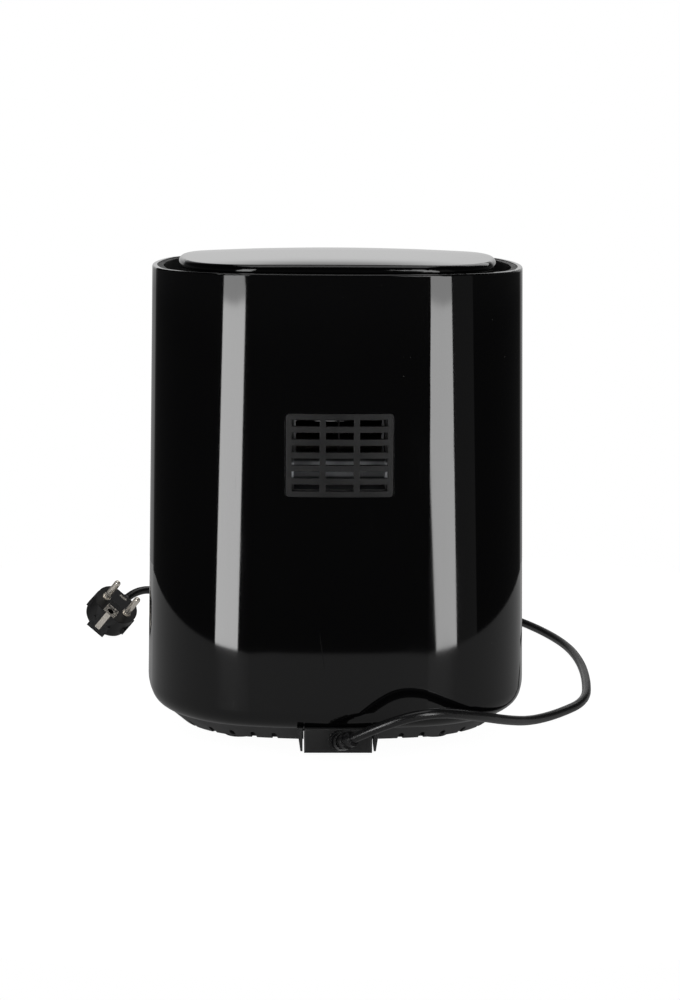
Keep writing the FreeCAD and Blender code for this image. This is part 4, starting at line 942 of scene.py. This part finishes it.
@dataclass
class Lead:
    """The mains lead between its boot and the plug's arm.

    Attributes:
        radius: Radius of the lead.
        length: Length along its middle line; not used.
        route: Corners of its route about the body's axis, in millimetres.
    """

    radius: float = 3.0 * MM
    length: float = 0.861
    route: tuple[Point, ...] = (
        (-8.32, 143.41, 19.6),
        (-29.08, 154.82, 32.57),
        (-56.1, 152.7, 38.2),
        (-81.4, 131.0, 30.0),
        (-104.9, 91.3, 16.5),
        (-122.3, 58.5, 7.6),
        (-142.7, 25.7, 3.4),
        (-165.1, -8.0, 3.1),
        (-172.8, -63.9, 3.1),
        (-175.5, -119.9, 3.1),
        (-172.1, -169.9, 3.1),
        (-159.7, -218.1, 3.1),
        (-141.2, -262.3, 3.1),
        (-110.7, -298.7, 3.1),
        (-69.9, -321.2, 3.1),
        (-26.0, -329.7, 3.1),
        (17.0, -325.2, 3.1),
        (56.2, -313.7, 4.2),
        (88.4, -297.1, 8.0),
        (116.6, -280.4, 15.0),
        (144.44, -258.36, 28.87),
        (154.31, -239.84, 22.27),
    )

    def build(self) -> bpy.types.Object:
        """Lay the lead as one smooth curve.

        Returns:
            The lead.
        """
        points = [(x * MM, y * MM + BODY_Y, z * MM) for x, y, z in self.route]
        curve = bpy.data.curves.new("power_lead", "CURVE")
        curve.dimensions = "3D"
        curve.bevel_depth = self.radius
        curve.bevel_resolution = 8
        curve.resolution_u = 24
        curve.use_fill_caps = True
        spline = curve.splines.new("NURBS")
        spline.points.add(len(points) - 1)
        for spot, place in zip(spline.points, points):
            spot.co = (*place, 1.0)
        spline.order_u = 3
        spline.use_endpoint_u = True
        lead = add_to_scene("power_lead", curve)
        paint(lead, LEAD_BLACK)
        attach(lead, Body.HOUSING.value)
        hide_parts("power_cord")
        LOG.info("power_lead laid along %d points", len(points))
        return lead


@dataclass(frozen=True)
class Softbox:
    """A tall lamp cloth that the polished back wall mirrors and that may dim near its top.

    Attributes:
        name: Name of the cloth.
        inner: Top and foot of the edge nearer to the camera, about the body's axis.
        outer: Top and foot of the other edge.
        radiance: How bright it is below the step and above it.
        step: Heights between which it dims.
    """

    name: str
    inner: tuple[Point, Point]
    outer: tuple[Point, Point]
    radiance: Range
    step: Range = (0.218, 0.23)

    def build(self) -> None:
        """Hang the cloth and light it."""
        mesh = bpy.data.meshes.new(self.name)
        corners = (self.inner[0], self.outer[0], self.outer[1], self.inner[1])
        mesh.from_pydata([(x, y + BODY_Y, z) for x, y, z in corners], [], [(0, 1, 2, 3)])
        sketch = Sketch(f"{self.name}_glow")
        sketch.set("Base Color", BLACK)
        sketch.set("Specular IOR Level", 0.0)
        sketch.set("Emission Color", WHITE)
        height = sketch.split(sketch.coords)["Z"]
        sketch.drive("Emission Strength", sketch.span(height, self.step, self.radiance))
        mesh.materials.append(sketch.material)
        cloth = add_to_scene(self.name, mesh)
        cloth.visible_camera = False
        LOG.info("%s hung", self.name)


SOFTBOXES = (
    Softbox(
        "left_softbox",
        ((0.576, 1.220, 0.75), (0.801, 1.085, -0.45)),
        ((0.862, 1.036, 0.75), (1.139, 0.690, -0.45)),
        (9.6, 4.7),
    ),
    Softbox(
        "right_softbox",
        ((-0.353, 1.300, 0.75), (-0.867, 1.031, -0.45)),
        ((-0.808, 1.082, 0.75), (-1.113, 0.736, -0.45)),
        (7.8, 4.6),
    ),
    Softbox(
        "side_reflector",
        ((-0.815, 1.070, 0.75), (-1.120, 0.724, -0.45)),
        ((-1.130, 0.700, 0.75), (-1.260, 0.290, -0.45)),
        (0.14, 0.14),
    ),
)


@dataclass(frozen=True)
class LightPanel:
    """A flat square light.

    Attributes:
        name: Name of the light.
        place: Where it stands.
        aim: Where it points.
        side: Width and height.
        radiance: How bright it is.
    """

    name: str
    place: Point
    aim: Point
    side: float
    radiance: float

    def build(self) -> None:
        """Set up the light."""
        data = bpy.data.lights.new(self.name, "AREA")
        data.shape = "RECTANGLE"
        data.size = data.size_y = self.side
        data.energy = math.pi * self.side * self.side * self.radiance
        light = add_to_scene(self.name, data)
        light.location = self.place
        sight = Vector(self.aim) - Vector(self.place)
        light.rotation_euler = sight.to_track_quat("-Z", "Y").to_euler()
        light.visible_camera = False
        LOG.info("%s at %s", self.name, self.place)


PANELS = (
    LightPanel("overhead", (0.0, 0.0, 1.7), (0.0, 0.001, 0.0), 1.2, 1.2),
    LightPanel("front_fill", (-0.7, -1.3, 1.2), (0.0, 0.0, 0.15), 0.9, 1.1),
)


@dataclass
class Studio:
    """Camera, table, lights and surroundings.

    Attributes:
        sensor_mm: Width of the camera's sensor.
        focal_px: Focal length in pixels of the picture.
        picture_px: Longer side of the picture in pixels.
        axis_px: How far left of the middle the body's axis stands, in pixels.
        nearest: Nearest distance that the camera shows.
        distance: From the body's axis to the camera, along the ground.
        height: Height of the camera.
        pitch_deg: How far the camera looks down.
        orbit_deg: How far the camera stands to the side of straight behind.
        roll_deg: How far the camera leans about its own axis.
        table_radius: Radius of the round table top.
        table_y: Depth of its middle.
        table_shade: Brightness of its colour.
        table_roughness: Roughness of its surface.
        table_gloss: Strength of its clear gloss.
        table_glow: Its own light to other rays and to the camera.
        room_level: Light from all round on dull surfaces.
        backdrop_turn: Angles from straight ahead between which the backdrop fades.
        backdrop_fade: Share of its brightness that is left at each of them.
        backdrop: Sine of the height angle and radiance of each step of the white backdrop.
    """

    sensor_mm: float = 36.0
    focal_px: float = 2194.0
    picture_px: float = 1000.0
    axis_px: float = 4.3
    nearest: float = 0.05
    distance: float = 1.3887
    height: float = 0.3636
    pitch_deg: float = 9.24
    orbit_deg: float = 1.0
    roll_deg: float = 0.3
    table_radius: float = 0.512
    table_y: float = -0.023
    table_shade: float = 0.12
    table_roughness: float = 0.55
    table_gloss: float = 0.02
    table_glow: Range = (0.2, 0.97)
    room_level: float = 0.6
    backdrop_turn: Range = (0.05, 0.5)
    backdrop_fade: Range = (1.0, 0.06)
    backdrop: tuple[Range, ...] = (
        (-0.2, 0.3),
        (-0.062, 0.3),
        (-0.035, 0.62),
        (0.05, 0.7),
        (0.135, 0.88),
        (0.15, 0.75),
        (0.165, 0.45),
        (0.18, 0.36),
        (0.6, 0.06),
    )

    def camera(self) -> None:
        """Stand the camera behind the appliance."""
        data = bpy.data.cameras.new("camera")
        data.sensor_width = self.sensor_mm
        data.lens = self.sensor_mm * self.focal_px / self.picture_px
        data.shift_x = self.axis_px / self.picture_px
        data.clip_start = self.nearest
        camera = add_to_scene("camera", data)
        orbit = math.radians(self.orbit_deg)
        camera.location = (
            self.distance * math.sin(orbit),
            BODY_Y + self.distance * math.cos(orbit),
            self.height,
        )
        level = Euler((math.radians(90.0 - self.pitch_deg), 0.0, math.pi - orbit)).to_matrix()
        lean = Matrix.Rotation(math.radians(self.roll_deg), 3, "Z")
        camera.rotation_euler = (level @ lean).to_euler()
        bpy.context.scene.camera = camera
        LOG.info("camera at %s", tuple(camera.location))

    def table(self) -> None:
        """Lay the round pale table top that the appliance stands on."""
        bpy.ops.object.select_all(action="DESELECT")
        bpy.ops.mesh.primitive_circle_add(
            vertices=192, radius=self.table_radius, fill_type="NGON", location=(0.0, self.table_y, 0.0)
        )
        table = bpy.context.object
        table.name = "table_top"
        apply_place(table)
        sketch = Sketch("table_white")
        sketch.set("Base Color", (self.table_shade, self.table_shade, self.table_shade, 1.0))
        sketch.set("Roughness", self.table_roughness)
        sketch.set("Specular IOR Level", self.table_gloss)
        sketch.set("Emission Color", WHITE)
        seen = sketch.add("ShaderNodeLightPath").outputs["Is Camera Ray"]
        sketch.drive("Emission Strength", sketch.span(seen, UNIT, self.table_glow))
        table.data.materials.append(sketch.material)

    def backdrop_glow(self, board: NodeBoard) -> Socket:
        """The white backdrop ahead of the camera, which fades to both sides.

        Args:
            board: Nodes of the world.

        Returns:
            Its radiance.
        """
        ray = board.split(board.add("ShaderNodeTexCoord").outputs["Generated"])
        ahead = board.math("MULTIPLY", ray["Y"], -1.0)
        turn = board.math("ABSOLUTE", board.math("ARCTAN2", ray["X"], ahead))
        fade = board.span(turn, self.backdrop_turn, self.backdrop_fade)
        low, high = self.backdrop[0][0], self.backdrop[-1][0]
        rise = board.span(ray["Z"], (low, high), ramp=Ramp.STRAIGHT)
        steps = board.add("ShaderNodeValToRGB")
        stops = steps.color_ramp.elements
        while len(stops) < len(self.backdrop):
            stops.new(0.5)
        for stop, (sine, radiance) in zip(stops, self.backdrop):
            stop.position = (sine - low) / (high - low)
            stop.color = (radiance, radiance, radiance, 1.0)
        board.link(rise, steps.inputs["Fac"])
        return board.math("MULTIPLY", fade, steps.outputs["Color"])

    def surroundings(self) -> None:
        """White to the camera and through lenses; polished faces see a backdrop in a dark room."""
        world = bpy.data.worlds.new("studio")
        bpy.context.scene.world = world
        world.use_nodes = True
        board = NodeBoard(world.node_tree)
        board.tree.nodes.clear()
        path = board.add("ShaderNodeLightPath").outputs
        room = board.blend(path["Is Glossy Ray"], self.room_level, self.backdrop_glow(board))
        seen = board.math("MAXIMUM", path["Is Camera Ray"], path["Is Transmission Ray"])
        back = board.add("ShaderNodeBackground")
        back.inputs["Color"].default_value = WHITE
        board.link(board.blend(seen, room, 1.0), back.inputs["Strength"])
        out = board.add("ShaderNodeOutputWorld")
        board.link(back.outputs["Background"], out.inputs["Surface"])

    def build(self) -> None:
        """Set up everything round the appliance."""
        bpy.context.scene.view_settings.view_transform = "Standard"
        self.camera()
        self.table()
        for light in SOFTBOXES + PANELS:
            light.build()
        self.surroundings()


@dataclass
class DialFace:
    """Printed marks and the pointer of one dial.

    Attributes:
        name: Name of the dial.
        body: Body that the knob belongs to.
        height: Height of the dial's axis.
        start_deg: Angle of the first mark, clockwise from the top.
        sweep_deg: Angle from the first mark to the last.
        numbers: Numbers printed along the sweep.
        minor: Short ticks between two numbers.
        tick_radius: Radius at which the ticks start.
        tick_long: Length of a tick at a number.
        tick_short: Length of a tick between numbers.
        tick_width: Width of a tick.
        number_radius: Radius of the numbers' middles.
        number_size: Size of the numbers.
        ink_height: How far the print stands off the fascia.
        ink_depth: Depth of the print's body below that.
        merge: Distance below which its vertices are one.
        pointer_inner: Radius at which the pointer starts.
        pointer_outer: Radius at which it ends.
        pointer_width: Its width.
        pointer_height: How far it stands up.
        pointer_round: Radius of its ends, as a share of its width.
        pointer_edge: Radius of its upper edges, as a share of its height.
        ahead: Depth of a plane in front of the fascia.
    """

    name: str
    body: Body
    height: float
    start_deg: float
    sweep_deg: float
    numbers: tuple[str, ...]
    minor: int = 3
    tick_radius: float = 20.7 * MM
    tick_long: float = 2.0 * MM
    tick_short: float = 1.2 * MM
    tick_width: float = 0.45 * MM
    number_radius: float = 25.0 * MM
    number_size: float = 3.6 * MM
    ink_height: float = 0.06 * MM
    ink_depth: float = 0.05 * MM
    merge: float = 0.002 * MM
    pointer_inner: float = 4.6 * MM
    pointer_outer: float = 12.8 * MM
    pointer_width: float = 1.5 * MM
    pointer_height: float = 0.3 * MM
    pointer_round: float = 0.48
    pointer_edge: float = 0.4
    ahead: float = -0.14

    def spot(self, turn_deg: float, radius: float) -> Vector:
        """Point in front of the fascia at an angle round the dial."""
        turn = math.radians(turn_deg)
        return Vector((radius * math.sin(turn), self.ahead, self.height + radius * math.cos(turn)))

    def bar(self, width: float, length: float) -> bpy.types.Object:
        """A flat bar at the origin, long in Y.

        Args:
            width: Its width.
            length: Its length.

        Returns:
            The bar.
        """
        bpy.ops.object.select_all(action="DESELECT")
        bpy.ops.mesh.primitive_plane_add(size=1.0)
        bar = bpy.context.object
        bar.scale = (width, length, 1.0)
        apply_place(bar)
        return bar

    def tick(self, turn_deg: float, length: float) -> bpy.types.Object:
        """Model one tick as a flat bar that points at the dial's axis.

        Args:
            turn_deg: Its angle, clockwise from the top.
            length: Its length.

        Returns:
            The tick.
        """
        tick = self.bar(self.tick_width, length)
        tick.location = self.spot(turn_deg, self.tick_radius + length / 2)
        tick.rotation_euler = (math.pi / 2, math.radians(turn_deg), 0.0)
        apply_place(tick)
        return tick

    def number(self, text: str, turn_deg: float) -> bpy.types.Object:
        """Model one number, upright, as a flat mesh.

        Args:
            text: The digits.
            turn_deg: Its angle, clockwise from the top.

        Returns:
            The number.
        """
        bpy.ops.object.select_all(action="DESELECT")
        bpy.ops.object.text_add(location=self.spot(turn_deg, self.number_radius))
        digits = bpy.context.object
        digits.data.body = text
        digits.data.size = self.number_size
        digits.data.align_x = "CENTER"
        digits.data.align_y = "CENTER"
        digits.rotation_euler = (math.pi / 2, 0.0, 0.0)
        bpy.ops.object.convert(target="MESH")
        apply_place(bpy.context.object)
        return bpy.context.object

    def marks(self) -> bpy.types.Object:
        """Print the scale on the fascia round the dial.

        Returns:
            The printed marks.
        """
        gaps = len(self.numbers) - 1
        parts = []
        for index, text in enumerate(self.numbers):
            turn = self.start_deg + self.sweep_deg * index / gaps
            parts.append(self.tick(turn, self.tick_long))
            parts.append(self.number(text, turn))
        steps = gaps * (self.minor + 1)
        for step in range(steps):
            if step % (self.minor + 1):
                turn = self.start_deg + self.sweep_deg * step / steps
                parts.append(self.tick(turn, self.tick_short))
        select_only(*parts)
        bpy.ops.object.join()
        print_layer = bpy.context.object
        with editing():
            bpy.ops.mesh.remove_doubles(threshold=self.merge)
        add_modifier(
            print_layer,
            "SHRINKWRAP",
            target=frame["nodes"]["control_panel"],
            wrap_method="PROJECT",
            use_project_y=True,
            use_negative_direction=True,
            use_positive_direction=True,
            offset=self.ink_height,
        )
        add_modifier(print_layer, "SOLIDIFY", thickness=self.ink_depth, offset=-1.0)
        return settle(print_layer, f"{self.name}_marks", INK, Body.HOUSING)

    def pointer(self) -> bpy.types.Object:
        """Model the raised bar on the knob's face that shows its setting.

        Returns:
            The pointer.
        """
        length = self.pointer_outer - self.pointer_inner
        pointer = self.bar(self.pointer_width, length)
        with editing():
            rounding = self.pointer_round * self.pointer_width
            bpy.ops.mesh.bevel(offset=rounding, segments=6, affect="VERTICES")
            bpy.ops.mesh.select_all(action="SELECT")
            raise_faces(self.pointer_height)
            edge = self.pointer_edge * self.pointer_height
            bpy.ops.mesh.bevel(offset=edge, segments=2, affect="EDGES")
        pointer.location = self.spot(self.start_deg, self.pointer_inner + length / 2)
        pointer.location.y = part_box(f"{self.name}_knob")[0][1] + self.ink_height
        pointer.rotation_euler = (math.pi / 2, math.radians(self.start_deg), 0.0)
        return settle(pointer, f"{self.name}_pointer", INK, self.body)

    def build(self) -> None:
        """Print the marks and set the pointer."""
        self.marks()
        self.pointer()


DEGREES = tuple(str(number) for number in range(80, 201, 20))
MINUTES = tuple(str(number) for number in range(0, 31, 5))
DIALS = (
    DialFace("temperature", Body.TEMPERATURE, 253 * MM, -135.0, 270.0, DEGREES),
    DialFace("timer", Body.TIMER, 202 * MM, 0.0, 330.0, MINUTES, minor=4),
)


@dataclass
class LampLenses:
    """The two domed lenses on the fascia's indicator lamps.

    Attributes:
        radius: Radius of a lens.
        rises: Height in millimetres and share of the width of each step of its dome.
        smooth_deg: Edges that bend less than this are shaded smooth.
    """

    radius: float = 2.45 * MM
    rises: tuple[Range, ...] = ((0.3, 0.95), (0.28, 0.86), (0.2, 0.7), (0.1, 0.45))
    smooth_deg: float = 50.0

    def dome(self) -> bpy.types.Object:
        """Model one lens at the origin, domed towards +Z.

        Returns:
            The lens.
        """
        bpy.ops.object.select_all(action="DESELECT")
        bpy.ops.mesh.primitive_circle_add(vertices=40, radius=self.radius, fill_type="NGON")
        with editing():
            for rise, share in self.rises:
                raise_faces(rise * MM)
                bpy.ops.transform.resize(value=(share, share, 1.0))
        bpy.ops.object.shade_smooth_by_angle(angle=math.radians(self.smooth_deg))
        return bpy.context.object

    def build(self) -> None:
        """Set a lens on each lamp."""
        low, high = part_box("indicator_lamps")
        first = self.dome()
        second = add_to_scene("lens", first.data.copy())
        for name, lens, x in (
            ("lamp_lens_left", first, low[0] + self.radius),
            ("lamp_lens_right", second, high[0] - self.radius),
        ):
            lens.location = (x, low[1], (low[2] + high[2]) / 2)
            lens.rotation_euler = (math.pi / 2, 0.0, 0.0)
            settle(lens, name, AMBER, Body.HOUSING)


def main() -> None:
    """Build the scene piece by piece."""
    logging.basicConfig(level=logging.INFO, format="%(name)s: %(message)s")
    bpy.ops.object.select_all(action="DESELECT")
    Studio().build()
    EarthSocket().build()
    Lead().build()
    Solids().dress()
    for dial in DIALS:
        dial.build()
    LampLenses().build()


if __name__ == "__main__":
    main()
